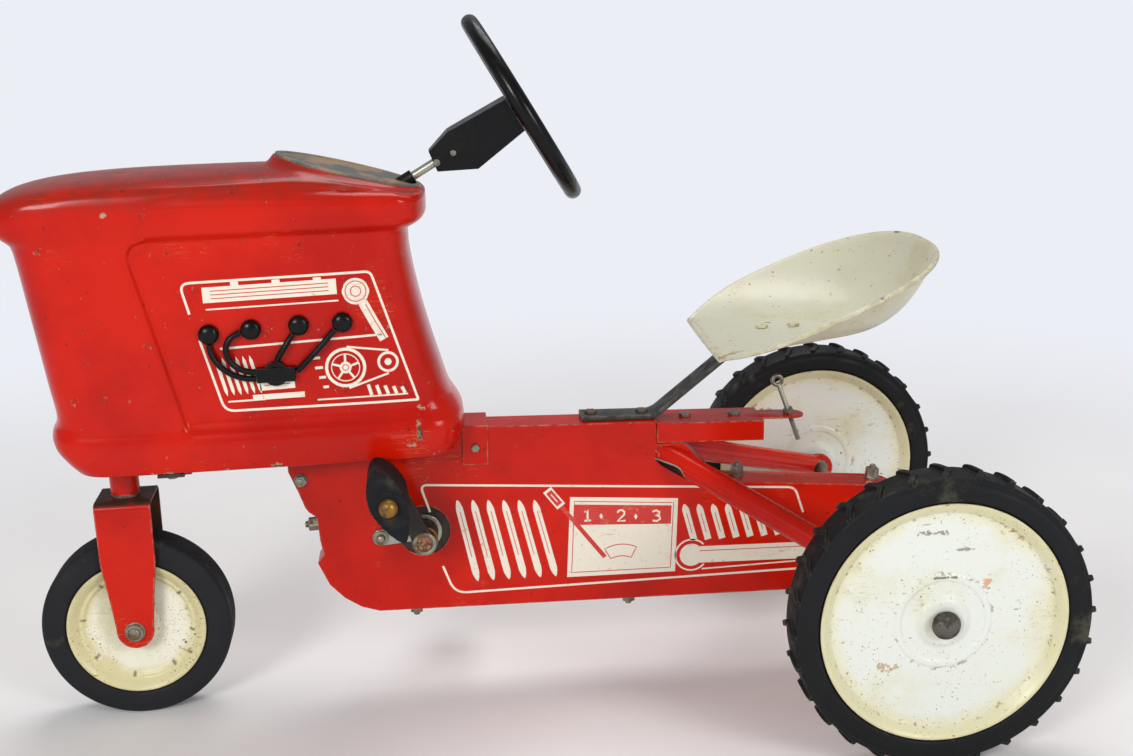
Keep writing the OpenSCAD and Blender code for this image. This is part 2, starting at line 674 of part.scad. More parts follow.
module bonnet_bolts() {
    low = min(beam_low - seat_gap, skirt_z - 7) - clip_t;
    high = skirt_z - seat_gap - clip_t;
    end = case_w / 2 + 2 * seat_gap + strap_t;
    color(steel) {
        translate([clip_x, 0, low - seat_gap]) rotate([180, 0, 0])
            bolt(clip_bolt_d, beam_top(clip_x) - beam_h - low + beam_wall + 1.5);
        both_sides() translate([clip_x, clip_bolt_y, high - seat_gap]) rotate([180, 0, 0])
            bolt(clip_bolt_d, clip_t + 2.5 + bonnet_sheet + 4 * seat_gap);
        translate([lug_bolt[0], -end - seat_gap, lug_bolt[1]]) rotate([90, 0, 0])
            bolt(case_bolt_d, 2 * end + 2 * seat_gap);
    }
}

// Steering: everything on the rod is placed by its distance below the wheel's centre
steer_x = front_x + steer_back;
module on_rod(s) {
    translate([steer_x, 0, steer_z]) rotate([0, 90 - rod_slope, 0]) translate([0, 0, -s]) children();
}
rod_r = rod_d / 2;
dash_s = (steer_z - dash_z + (steer_x - dash_x) * tan(dash_fall))
    / (sin(rod_slope) + cos(rod_slope) * tan(dash_fall));
bracket_s = (steer_x - bracket_x) / cos(rod_slope);
lever_low = head_high + flange_t + 4 * seat_gap;
lever_h = 15;
lever_plate = [9, 13];
ball_r = 6;
ball_z = lever_low + 8.5;
crank_r = 24;
rod_end_s = (steer_z - crank_r * cos(rod_slope) - ball_z) / sin(rod_slope);
ball_x = steer_x - rod_end_s * cos(rod_slope) + crank_r * sin(rod_slope);
pin_s = [91, 73.6];
pin_d = [4, 3];
dash_bush_r = rod_r + 2.5;
bracket_bush_r = rod_r + 2;

module dash_plate() {
    slant = cos(dash_fall);
    plate_t = 1.5;
    half_l = (dash_half_l - 1.5) / slant;
    half_w = dash_half_w - 1.5;
    oval_points = function (d) [for (i = [0:47]) [(half_l - d) * cos(7.5 * i), (half_w - d) * sin(7.5 * i)]];
    color(dark_steel) difference() {
        translate([dash_x, 0, dash_z]) rotate([0, dash_fall, 0]) translate([0, 0, seat_gap]) difference() {
            linear_extrude(plate_t + 1) polygon(oval_points(0));
            translate([0, 0, plate_t]) linear_extrude(2) polygon(oval_points(4));
        }
        on_rod(dash_s) translate([0, 0, -20]) cylinder(h = 40, r = dash_bush_r + seat_gap);
    }
}

module rod_bushes() {
    color(black) {
        on_rod(dash_s + 9) difference() {
            cylinder(h = 20, r = dash_bush_r);
            translate([0, 0, -1]) cylinder(h = 22, r = rod_r + run_gap);
        }
        on_rod(bracket_s + 9) difference() {
            cylinder(h = 18, r = bracket_bush_r);
            translate([0, 0, -1]) cylinder(h = 20, r = rod_r + run_gap);
        }
    }
}

module rod_bracket() {
    base_t = 3;
    boss_r = bracket_bush_r + 3;
    top = steer_z - bracket_s * sin(rod_slope);
    foot = beam_top(bracket_x) + seat_gap;
    color(dark_steel) {
        difference() {
            union() {
                beam_box(bracket_x - 15, bracket_x + 15, beam_w - 4, -seat_gap - base_t, -seat_gap);
                plate_x([[-12, foot + 1], [12, foot + 1], [6, top], [-6, top]],
                    bracket_x - 1.5, bracket_x + 1.5);
                on_rod(bracket_s + 9) cylinder(h = 18, r = boss_r);
            }
            on_rod(bracket_s + 10) cylinder(h = 40, r = bracket_bush_r + seat_gap, center = true);
            for (x = bracket_bolts) beam_hole(x, clip_bolt_d / 2 + seat_gap);
        }
        for (x = bracket_bolts) translate([x, 0, beam_top(x)]) rotate([0, beam_tilt, 0])
            translate([0, 0, base_t + 2 * seat_gap]) bolt(clip_bolt_d, base_t + beam_wall + 3 * seat_gap);
    }
}

module steering_ring() {
    mid_r = (steer_d - ring_d) / 2;
    boss = 17;
    color(black) on_rod(0) difference() {
        union() {
            rotate_extrude() translate([mid_r, 0]) circle(r = ring_d / 2);
            translate([0, 0, -8]) cylinder(h = 15, r = boss);
            for (a = [0, 120, 240]) rotate(a) translate([0, 0, -3.5]) linear_extrude(7)
                polygon([[0, -13], [mid_r, -8], [mid_r, 8], [0, 13]]);
        }
        translate([0, 0, -20]) cylinder(h = 24, r = rod_r + seat_gap);
    }
}

// Hub box under the ring: its side view cut with its plan
module hub_box() {
    side = [[-16, 8.3], [-18.6, 68], [-12, 92], [7.5, 95], [24, 62], [17, 8.3]];
    plan = [[-19, 8.3], [-17, 62], [-9, 95], [9, 95], [17, 62], [19, 8.3]];
    color(black) on_rod(0) difference() {
        intersection() {
            plate_y([for (p = side) [p[0], -p[1]]], -30, 30);
            plate_x([for (p = plan) [p[0], -p[1]]], -40, 40);
        }
        translate([0, 0, -110]) cylinder(h = 110, r = rod_r + seat_gap);
        for (i = [0, 1]) translate([0, 0, -pin_s[i]]) along_y(pin_d[i] / 2 + seat_gap, -30, 30);
    }
}

module hub_rivets() {
    reach = [for (s = pin_s) 17 - 8 * (s - 62) / 33 + 0.9];
    color(steel) on_rod(0) for (i = [0, 1]) translate([0, 0, -pin_s[i]]) {
        along_y(pin_d[i] / 2, -reach[i], reach[i]);
        both_sides() along_y(pin_d[i] / 2 + 1.3, reach[i] - eps, reach[i] + 1.2);
    }
}

module steering_rod() {
    color(steel) on_rod(0) difference() {
        union() {
            translate([0, 0, -rod_end_s - 5]) cylinder(h = rod_end_s + 8, r = rod_r);
            translate([0, 0, -rod_end_s]) rotate([0, 90, 0]) cylinder(h = crank_r, r = 3.2);
            translate([crank_r, 0, -rod_end_s]) sphere(r = ball_r);
        }
        for (i = [0, 1]) translate([0, 0, -pin_s[i]]) along_y(pin_d[i] / 2 + seat_gap, -10, 10);
    }
}

// Fork: a bent plate cut to the legs' outline, with the stem welded into its crown
fork_t = 3;
leg_outline = concat(
    [[-26, fork_top_z + 1], [26, fork_top_z + 1], [25.5, front_r + 68], [20.5, front_r + 31]],
    arc_points(0, front_r, 17.5, 8, -188, 14),
    [[-20.5, front_r + 31], [-25.5, front_r + 68]]
);
function arch(half, top, r, low) = concat([[-half, low]],
    arc_points(-half + r, top - r, r, 180, 90, 5), arc_points(half - r, top - r, r, 90, 0, 5), [[half, low]]);

module fork() {
    inner = arch(fork_w / 2 - fork_t, fork_top_z - fork_t, 4, 0);
    band = concat(arch(fork_w / 2, fork_top_z, 7, 0), [for (i = [len(inner) - 1:-1:0]) inner[i]]);
    stem_top = lever_low + lever_h;
    color(red) difference() {
        union() {
            intersection() {
                plate_x(band, front_x - 40, front_x + 40);
                translate([front_x, 0, 0]) plate_y(leg_outline, -fork_w, fork_w);
            }
            translate([front_x, 0, fork_top_z - fork_t + eps])
                cylinder(h = stem_top - fork_top_z + fork_t, r = stem_d / 2);
            translate([front_x, 0, stem_top]) cylinder(h = 12, r = stem_d / 2 - 3);
        }
        translate([front_x, 0, front_r]) along_y(front_axle_d / 2 + seat_gap, -fork_w, fork_w);
    }
}

module steering_lever() {
    slot_w = 2 * ball_r + 2;
    slot_from = ball_x - front_x - ball_r - 5;
    prong = 5;
    reach = ball_x - front_x + 12;
    color(dark_steel) translate([front_x, 0, lever_low]) difference() {
        union() {
            cylinder(h = lever_h, r = stem_d / 2 + 6);
            translate([0, -slot_w / 2 - prong, lever_plate[0]])
                cube([reach, slot_w + 2 * prong, lever_plate[1] - lever_plate[0]]);
        }
        translate([0, 0, -1]) cylinder(h = lever_h + 2, r = stem_d / 2 + seat_gap);
        translate([slot_from, -slot_w / 2, lever_plate[0] - 1]) cube([reach, slot_w, 6]);
    }
}

module stem_nut() {
    color(steel) translate([front_x, 0, lever_low + lever_h + seat_gap]) difference() {
        hex(17, 8);
        translate([0, 0, -1]) cylinder(h = 10, r = stem_d / 2 - 3 + seat_gap);
    }
}

module front_axle_bolt() {
    end = fork_w / 2 + seat_gap;
    color(steel) translate([front_x, -end, front_r]) rotate([90, 0, 0]) bolt(front_axle_d, 2 * end);
}

// Wheels: two pressed discs back to back on a hub tube, with the tyre between their flanges
front_rim = front_rim_d / 2;
rear_rim = rear_rim_d / 2;
front_half = front_tyre_w / 2;
rear_half = rear_tyre_w / 2;
front_hub_r = front_axle_d / 2 + 3.2;
rear_hub_r = rear_axle_d / 2 + 3.5;

module disc_pair(line) {
    both_sides() spin_y(thicken(line, disc_sheet));
}

module front_discs() {
    y = front_half - 1.7;
    line = [
        [front_hub_r + seat_gap, y - 6], [16, y - 6], [20, y - 10], [front_rim * 0.76, y - 10],
        [front_rim * 0.8, y - 7.7], [front_rim - 10, y - 7.7], [front_rim - 4, y - 1.9],
        [front_rim - 1.4, y - 0.1], [front_rim, y],
    ];
    color(cream) translate([front_x, 0, front_r]) disc_pair(line);
}

module tyre_body(r, rim, half, tread_half) {
    side = [
        [rim - 10.5, 0], [rim - 10.5, half - 10.2], [rim - 4.6, half - 4.2], [rim - 1.2, half - 2.7],
        [rim + 0.9, half - 2.5], [rim + 1.7, half - 0.8], [rim + 4, half], [(r + rim) / 2 + 2, half],
        [r - 5.5, half - 1.2], [r - 2, tread_half + 1.2], [r - 0.4, tread_half - 1.2],
        [r, tread_half - 4], [r, 0],
    ];
    other = [for (i = [len(side) - 2:-1:1]) [side[i][0], -side[i][1]]];
    spin_y(concat(side, other));
}

module front_tyre() {
    groove_y = 8;
    color(black) translate([front_x, 0, front_r]) difference() {
        tyre_body(front_r, front_rim, front_half, front_half - 4);
        both_sides() spin_y([
            [front_r - 1.6, groove_y], [front_r + 1, groove_y - 1], [front_r + 1, groove_y + 1.8],
        ]);
    }
}

module hub_tube(r, bore, from, to) {
    difference() {
        along_y(r, from, to);
        along_y(bore, from - 1, to + 1);
    }
}

module front_hub() {
    half = fork_w / 2 - fork_t - 0.4;
    color(steel) translate([front_x, 0, front_r])
        hub_tube(front_hub_r, front_axle_d / 2 + run_gap, -half, half);
}

lug_slant = 26;
lug_w = 6;
module rear_tyre() {
    tread_r = rear_r - lug_h;
    row_mid = rear_half / 2;
    step = 360 / lug_count;
    color(black) {
        tyre_body(tread_r, rear_rim, rear_half, rear_half - 1.5);
        intersection() {
            both_sides() for (i = [0:lug_count - 1]) rotate([0, -90 - i * step, 0])
                translate([tread_r - 1.2, row_mid, 0]) rotate([lug_slant, 0, 0])
                    translate([0, -rear_half * 0.46, -lug_w / 2]) cube([lug_h + 3, rear_half * 0.92, lug_w]);
            along_y(rear_r, -rear_half, rear_half);
        }
    }
}

rear_disc_line = let (y = rear_half - 2.2) [
    [rear_hub_r + seat_gap, y - 3], [19, y - 3], [24, y - 6.5], [36, y - 7], [38, y - 5.8], [41, y - 5.8],
    [43, y - 7], [rear_rim - 12.5, y - 7.6], [rear_rim - 10, y - 7.2], [rear_rim - 4, y - 1.4],
    [rear_rim - 1.4, y + 0.4], [rear_rim, y + 0.5],
];
hub_from = ear_y + ear_t / 2 + flange_t + 4 * seat_gap;
hub_to = track / 2 + rear_half;
pin_y = hub_from + 4;
drive_pin_d = 5;

module at_wheel(side) {
    translate([rear_x, side * track / 2, rear_r]) children();
}

module left_discs() { color(cream) at_wheel(-1) disc_pair(rear_disc_line); }
module right_discs() { color(cream) at_wheel(1) disc_pair(rear_disc_line); }
module left_tyre() { at_wheel(-1) rear_tyre(); }
module right_tyre() { at_wheel(1) rear_tyre(); }

module left_hub() {
    color(steel) translate([rear_x, 0, rear_r]) difference() {
        hub_tube(rear_hub_r, rear_axle_d / 2 + run_gap, -hub_to, -hub_from);
        translate([0, -pin_y, -30]) cylinder(h = 60, r = drive_pin_d / 2 + seat_gap);
    }
}

module right_hub() {
    color(steel) translate([rear_x, 0, rear_r])
        hub_tube(rear_hub_r, rear_axle_d / 2 + run_gap, hub_from, hub_to);
}

module rear_axle() {
    end = hub_to + 6;
    color(steel) translate([rear_x, 0, rear_r]) difference() {
        along_y(rear_axle_d / 2, -end, end);
        translate([0, -pin_y, -20]) cylinder(h = 40, r = drive_pin_d / 2 + seat_gap);
    }
}

module drive_pin() {
    color(steel) translate([rear_x, -pin_y, rear_r - rear_hub_r - 1.5])
        cylinder(h = 2 * rear_hub_r + 3, r = drive_pin_d / 2);
}

module hub_caps() {
    low = hub_to + 2 * seat_gap;
    cap_r = rear_axle_d / 2 + 6;
    bore = rear_axle_d / 2 + seat_gap;
    line = [
        [bore, low], [cap_r, low], [cap_r, low + 2.5], [cap_r - 1.5, low + 5.5], [cap_r - 4.5, low + 8],
        [cap_r - 8.5, low + 9.3], [0, low + 9.5], [0, low + 7], [bore, low + 7],
    ];
    color(dark_steel) translate([rear_x, 0, rear_r]) both_sides() spin_y(line);
}

module axle_bushes() {
    bore = rear_axle_d / 2 + run_gap;
    color(steel) translate([rear_x, 0, rear_r]) both_sides() {
        translate([0, case_w / 2 + seat_gap + flange_t, 0]) rotate([90, 0, 0])
            bush(bore, axle_bush_r, axle_bush_r + 4, 6);
        translate([0, ear_y + ear_t / 2 + seat_gap + flange_t, 0]) rotate([90, 0, 0])
            bush(bore, axle_bush_r, axle_bush_r + 3, ear_t + 3);
    }
}

// Toothed wheels: a seat for each roller, with the tooth tips between the seats
function toothed(teeth, r, first) = let (
    seat_r = roller_r + 0.25,
    tip = r + 2.7,
    tip_turn = 0.85 * 180 / teeth
) [for (i = [0:teeth - 1]) let (a = first - i * 360 / teeth) each concat(
    [[tip * cos(a + tip_turn), tip * sin(a + tip_turn)]],
    [for (t = [-60, -20, 20, 60]) [r * cos(a) - seat_r * cos(a + t), r * sin(a) - seat_r * sin(a + t)]],
    [[tip * cos(a - tip_turn), tip * sin(a - tip_turn)]]
)];
tooth_t = 3;
first_seat = 90 - strand_tilt;
sprocket_first = first_seat - (ceil(strand_part) - strand_part) * 360 / sprocket_teeth;

module chain_frame() {
    translate([crank_x, 0, crank_z]) rotate([0, -chain_slope, 0]) children();
}

module chainwheel() {
    windows = 5;
    color(dark_steel) chain_frame() difference() {
        union() {
            plate_y(toothed(wheel_teeth, wheel_r, first_seat), -tooth_t / 2, tooth_t / 2);
            along_y(crank_axle_d / 2 + 6, -9, 9);
        }
        along_y(crank_axle_d / 2 + seat_gap / 2, -20, 20);
        for (i = [0:windows - 1]) rotate([0, i * 360 / windows, 0]) translate([wheel_r * 0.6, 0, 0])
            along_y(wheel_r * 0.14, -5, 5);
    }
}

module rear_sprocket() {
    color(dark_steel) translate([rear_x, 0, rear_r]) rotate([0, -chain_slope, 0]) difference() {
        union() {
            plate_y(toothed(sprocket_teeth, sprocket_r, sprocket_first), -tooth_t / 2, tooth_t / 2);
            along_y(rear_axle_d / 2 + 5, -9, 9);
        }
        along_y(rear_axle_d / 2 + seat_gap / 2, -20, 20);
    }
}

// Place of roller k on the chain's path: top strand, sprocket, bottom strand, chainwheel
lean = [sin(strand_tilt), cos(strand_tilt)];
under = [lean[0], -lean[1]];
function on_circle(cx, r, a) = [cx + r * cos(a), r * sin(a)];
function along(p, q, t) = p + (q - p) * t;
function roller_at(k) = let (u = k % links, v = u - strand_part, w = v - sprocket_part, z = w - strand_part)
    v < 0 ? along(wheel_r * lean, [chain_c, 0] + sprocket_r * lean, u / strand_part)
    : w < 0 ? on_circle(chain_c, sprocket_r, first_seat - v * 360 / sprocket_teeth)
    : z < 0 ? along([chain_c, 0] + sprocket_r * under, wheel_r * under, w / strand_part)
    : on_circle(0, wheel_r, -first_seat - z * 360 / wheel_teeth);
plate_end = pitch * 0.42;
plate_line = concat(arc_points(0, 0, plate_end, 300, 60, 4), arc_points(pitch, 0, plate_end, 120, -120, 4));

module link_at(k) {
    a = roller_at(k);
    b = roller_at(k + 1);
    chain_frame() translate([a[0], 0, a[1]]) rotate([0, -atan2(b[1] - a[1], b[0] - a[0]), 0]) children();
}

module outer_link() {
    from = inner_half + plate_t + link_gap;
    both_sides() plate_y(plate_line, from, from + plate_t);
    for (x = [0, pitch]) translate([x, -from - plate_t - 0.4, 0]) rotate([-90, 0, 0])
        cylinder(h = 2 * (from + plate_t + 0.4), r = pin_r, $fn = 6);
}

module inner_link() {
    difference() {
        union() {
            both_sides() plate_y(plate_line, inner_half, inner_half + plate_t);
            for (x = [0, pitch]) translate([x, -inner_half - eps, 0]) rotate([-90, 0, 0])
                cylinder(h = 2 * (inner_half + eps), r = roller_r, $fn = 10);
        }
        for (x = [0, pitch]) translate([x, -10, 0]) rotate([-90, 0, 0])
            cylinder(h = 20, r = (pin_r + link_gap) / cos(30), $fn = 6);
    }
}

module chain_outer_links() {
    color(steel) for (k = [0:2:links - 2]) link_at(k) outer_link();
}

module chain_inner_links() {
    color(dark_steel) for (k = [1:2:links - 1]) link_at(k) inner_link();
}

// Crank: axle, arms and spindles in one piece, in brackets bolted inside the case
crank_turn = 114.3;
tube_out = 45;
bush_wall = 3.2;
crank_bush_r = crank_axle_d / 2 + bush_wall;
tube_wall_r = crank_bush_r + 3.6;
arm_in = tube_out + flange_t + 3 * seat_gap + 0.5;
arm_t = 8;
pedal_in = 75;
spindle_end = pedal_in + pedal_len + 5;

module crank_arm() {
    rotate([0, -crank_turn, 0]) {
        along_y(11, arm_in, arm_in + arm_t);
        translate([0, arm_in, -9]) cube([arm_len, arm_t, 18]);
        translate([arm_len, 0, 0]) {
            along_y(10, arm_in, arm_in + arm_t);
            along_y(spindle_d / 2 + 3, arm_in, pedal_in - 2 * seat_gap);
            along_y(spindle_d / 2, arm_in, spindle_end);
        }
    }
}

module crank() {
    color(steel) translate([crank_x, 0, crank_z]) {
        along_y(crank_axle_d / 2, -arm_in - 1, arm_in + 1);
        rotate([0, 180, 0]) crank_arm();
        mirror([0, 1, 0]) crank_arm();
    }
}

module crank_brackets() {
    wall = case_w / 2 - sheet - seat_gap;
    color(dark_steel) translate([crank_x, 0, crank_z]) both_sides() difference() {
        union() {
            along_y(30, wall - 2.5, wall);
            along_y(tube_wall_r, wall - 2.5, tube_out);
        }
        along_y(crank_bush_r + seat_gap / 2, 0, tube_out + 1);
    }
}

module crank_bushes() {
    color(brass) translate([crank_x, 0, crank_z]) both_sides()
        translate([0, tube_out + seat_gap + flange_t, 0]) rotate([90, 0, 0])
            bush(crank_axle_d / 2 + run_gap, crank_bush_r, tube_wall_r, 20);
}

module adjuster_straps() {
    from = case_w / 2 + seat_gap;
    reach = adjuster_at - [crank_x, crank_z];
    long = vec_len(reach);
    color(steel) translate([crank_x, 0, crank_z]) both_sides()
        rotate([0, -atan2(reach[1], reach[0]), 0]) difference() {
            union() {
                along_y(tube_wall_r + 4, from, from + 2.5);
                translate([0, from, -8]) cube([long, 2.5, 16]);
                translate([long, 0, 0]) along_y(8, from, from + 2.5);
            }
            along_y(tube_wall_r + seat_gap, 0, case_w);
            translate([long, 0, 0]) along_y(adjuster_d / 2 + seat_gap, 0, case_w);
        }
}

module adjuster_bolts() {
    out = case_w / 2 + 2 * seat_gap + 2.5;
    wall = case_w / 2 - sheet - seat_gap;
    color(steel) translate([adjuster_at[0], 0, adjuster_at[1]]) both_sides() {
        along_y(adjuster_d / 2, wall - 5, out + 1);
        spin_y([[0, out], [8.8, out], [8.8, out + 3], [7, out + 6], [4, out + 7.8], [0, out + 8.2]]);
        translate([0, wall - 4, 0]) rotate([-90, 0, 0]) hex(10, 4);
    }
}

module one_pedal() {
    long = 38;
    short = 17;
    outline = [for (i = [0:39]) let (c = cos(-9 * i), s = sin(-9 * i))
        [long * sign(c) * pow(abs(c), 1.5), short * sign(s) * pow(abs(s), 1.35)]];
    color(black) difference() {
        union() {
            rotate([0, -110, 0]) plate_y(outline, pedal_in + 1.5, pedal_in + pedal_len - 1.5);
            along_y(12, pedal_in, pedal_in + pedal_len);
        }
        along_y(spindle_d / 2 + run_gap, pedal_in - 1, pedal_in + pedal_len + 1);
    }
}

left_spindle = [crank_x + arm_len * cos(crank_turn), crank_z + arm_len * sin(crank_turn)];
right_spindle = [2 * crank_x - left_spindle[0], 2 * crank_z - left_spindle[1]];
module left_pedal() { translate([left_spindle[0], 0, left_spindle[1]]) mirror([0, 1, 0]) one_pedal(); }
module right_pedal() { translate([right_spindle[0], 0, right_spindle[1]]) one_pedal(); }

module pedal_cap() {
    low = pedal_in + pedal_len + 2 * seat_gap;
    r = spindle_d / 2 + seat_gap;
    spin_y([
        [r, low], [8.5, low], [8.5, low + 4], [7, low + 7], [4, low + 9], [0, low + 9.6],
        [0, low + 6.5], [r, low + 6.5],
    ]);
}

module pedal_caps() {
    color(brass) {
        translate([right_spindle[0], 0, right_spindle[1]]) pedal_cap();
        translate([left_spindle[0], 0, left_spindle[1]]) mirror([0, 1, 0]) pedal_cap();
    }
}

// Plug caps, distributor and leads on the bonnet's left side
plug_at = [[99, 379.5], [136, 382], [178, 383.5], [216.5, 384]];
block_at = [155, 341];
lead_r = 2.8;
face_y = -panel_half - seat_gap;

module plug_caps() {
    color(black) for (p = plug_at) translate([front_x + p[0], face_y, p[1]]) mirror([0, 1, 0])
        spin_y([[0, 0], [9, 0], [9, 4.5], [7.5, 6.5], [4, 7.8], [0, 8]]);
}

module distributor() {
    color(black) translate([front_x + block_at[0], face_y, block_at[1]]) mirror([0, 1, 0]) {
        translate([-17, 0, -7]) cube([34, 8, 13]);
        along_y(11, 0, 6);
    }
}

// Leads: rings along a curve through hand-placed points, as x, z and stand-off from the panel
function curve(p, t) = let (n = len(p)) n == 1 ? p[0]
    : curve([for (i = [0:n - 2]) p[i] * (1 - t) + p[i + 1] * t], t);
lead_points = [
    [[99, 370.1, 4], [99, 352, 6], [118, 337, 6], [137.5, 337.5, 4]],
    [[126.6, 380, 4], [104, 374, 8], [112, 345, 8], [137.3, 343.6, 4]],
    [[172.1, 376, 4], [166, 367, 8], [160, 360, 8], [157, 353.2, 3.6]],
    [[209, 377.8, 4], [198, 366, 9], [186, 354, 9], [174, 342.5, 4]],
];
lead_rings = 10;
lead_sides = 8;

module tube_along(p, r) {
    at = [for (i = [0:lead_rings]) curve(p, i / lead_rings)];
    ring = [for (i = [0:lead_rings]) let (
        d = unit(at[min(i + 1, lead_rings)] - at[max(i - 1, 0)]),
        u = unit(cross(d, [0, 1, 0])),
        v = cross(d, u)
    ) [for (k = [0:lead_sides - 1]) let (a = k * 360 / lead_sides) at[i] + (u * cos(a) + v * sin(a)) * r]];
    n = lead_sides;
    sides = [for (i = [0:lead_rings - 1]) for (k = [0:n - 1]) let (a = i * n + k, b = i * n + (k + 1) % n)
        each [[a, b + n, b], [a, a + n, b + n]]];
    far = lead_rings * n;
    ends = [for (k = [1:n - 2]) each [[0, k, k + 1], [far, far + k + 1, far + k]]];
    polyhedron(points = [for (r = ring) each r], faces = concat(sides, ends));
}

module plug_leads() {
    color(black) for (p = lead_points)
        tube_along([for (q = p) [front_x + q[0], face_y - q[2], q[1]]], lead_r);
}

// Seat pan: rings drawn from the floor's middle out to the rolled rim, and back underneath
pan_mid = rear_x - 62;
pan_wide_x = rear_x - 73;
pan_sheet = 1.5;
pan_front_z = seat_z - 6.4;
pan_x0 = rear_x - seat_front;
pan_x1 = rear_x + seat_back;
function pan_rim_z(x) = pan_front_z + (seat_back_z - pan_front_z) * (x - pan_x0) / (pan_x1 - pan_x0)
    + 0.00033 * (x - pan_x0) * (pan_x1 - x);
pan_front_half = seat_half * 0.63;
pan_half = concat(
    [for (i = [0:11]) let (c = cos(i * 7.5), s = sin(i * 7.5))
        [pan_wide_x + (pan_x1 - pan_wide_x) * pow(c, 0.84), seat_half * pow(s, 0.78)]],
    [for (i = [0:7]) let (t = i / 7) [
        pan_wide_x + (pan_x0 + 3 - pan_wide_x) * t,
        seat_half - (seat_half - pan_front_half - 2) * pow(t, 2.6),
    ]],
    [for (t = [1, 0.75, 0.5, 0.25, 0]) [pan_x0, pan_front_half * t]]
);
pan_outline = concat(pan_half, [for (i = [len(pan_half) - 2:-1:1]) [pan_half[i][0], -pan_half[i][1]]]);
// Each ring: share of the way to the rim, outward step, rise
pan_section = concat(
    [for (s = [0.15, 0.3, 0.45, 0.58, 0.7, 0.8, 0.88, 0.95, 1]) [s, 0, 0]],
    [[1, 2, 0.6], [1, 3.8, -0.6], [1, 4.2, -2.8], [1, 3, -4.4], [1, 1.6, -3]],
    [for (s = [0.94, 0.86, 0.76, 0.64, 0.5, 0.32, 0.15]) [s, 0.9 * s * s, -pan_sheet]]
);

module seat_pan() {
    n = len(pan_outline);
    m = len(pan_section);
    rings = [for (c = pan_section) [for (p = pan_outline) let (
        d = unit(p - [pan_mid, 0]),
        q = [pan_mid, 0] + (p - [pan_mid, 0]) * c[0] + d * c[1]
    ) [q[0], q[1], seat_z + (pan_rim_z(p[0]) - seat_z) * pow(c[0], 3.8) + c[2]]]];
    points = concat([for (r = rings) each r], [[pan_mid, 0, seat_z], [pan_mid, 0, seat_z - pan_sheet]]);
    top = m * n;
    last = (m - 1) * n;
    walls = [for (i = [0:m - 2]) for (j = [0:n - 1]) let (a = i * n + j, b = i * n + (j + 1) % n)
        each [[a, b, b + n], [a, b + n, a + n]]];
    caps = [for (j = [0:n - 1]) let (k = (j + 1) % n) each [[k, j, top], [last + j, last + k, top + 1]]];
    color(cream) difference() {
        polyhedron(points = points, faces = concat(walls, caps));
        for (x = seat_bolts_x) translate([x, 0, seat_z - 10]) cylinder(h = 20, r = bar_bolt_d / 2 + seat_gap);
    }
}

seat_bolts_x = [rear_x - 105.5, rear_x - 75];
bar_top = seat_z - pan_sheet - 0.6;

module seat_bar() {
    from = saddle_x - 71;
    bend = saddle_x;
    lower = function (x) skin_top(x) + seat_gap;
    rise_to = rear_x - 117;
    line = [
        [from, lower(from)], [bend - 5, lower(bend - 5)], [bend + 3, lower(bend) + 3],
        [rise_to - 4, bar_top - bar_t - 4], [rise_to + 5, bar_top - bar_t], [rear_x - 52, bar_top - bar_t],
    ];
    color(dark_steel) difference() {
        plate_y(thicken(line, bar_t), -bar_w / 2, bar_w / 2);
        for (x = bar_bolts) beam_hole(x, bar_bolt_d / 2 + seat_gap);
        for (x = seat_bolts_x) translate([x, 0, seat_z - 20]) cylinder(h = 30, r = bar_bolt_d / 2 + seat_gap);
    }
}

module seat_bolts() {
    color(steel) {
        for (x = seat_bolts_x) translate([x, 0, seat_z + seat_gap])
            bolt(bar_bolt_d, seat_z - bar_top + bar_t + 2 * seat_gap, 0.6);
        for (x = bar_bolts) translate([x, 0, skin_top(x)]) rotate([0, beam_tilt, 0])
            translate([0, 0, bar_t + 2 * seat_gap])
                bolt(bar_bolt_d, bar_t + skin_lift + beam_wall + 3 * seat_gap, 0.7);
    }
}

backbone();
case_left();
case_right();
case_screws();
saddle();
saddle_bolts();
axle_struts();
strut_bolts();
bonnet();
rear_strap();
clip_strap();
bonnet_bolts();
dash_plate();
plug_caps();
plug_leads();
distributor();
rod_bracket();
rod_bushes();
head_bushes();
crank_brackets();
crank_bushes();
adjuster_straps();
adjuster_bolts();
chain_outer_links();
chain_inner_links();
axle_bushes();
seat_pan();
seat_bar();
seat_bolts();
steering_ring();
hub_box();
hub_rivets();
steering_rod();
fork();
steering_lever();
stem_nut();
front_axle_bolt();
front_discs();
front_tyre();
front_hub();
crank();
chainwheel();
pedal_caps();
left_pedal();
right_pedal();
rear_axle();
rear_sprocket();
hub_caps();
drive_pin();
left_discs();
left_tyre();
left_hub();
right_discs();
right_tyre();
right_hub();
hitch_pin();
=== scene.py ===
"""Looks of the pedal tractor: pressed sheets, wheels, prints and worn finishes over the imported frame.

Shapes are given in millimetres in the frame's own axes, until a mesh is made of them in metres. Lengths on
shader sockets, lights and the floor are metres.
"""

import json
import math
from functools import partialmethod

import bmesh
import bpy
import numpy as np
from mathutils import Matrix, Vector


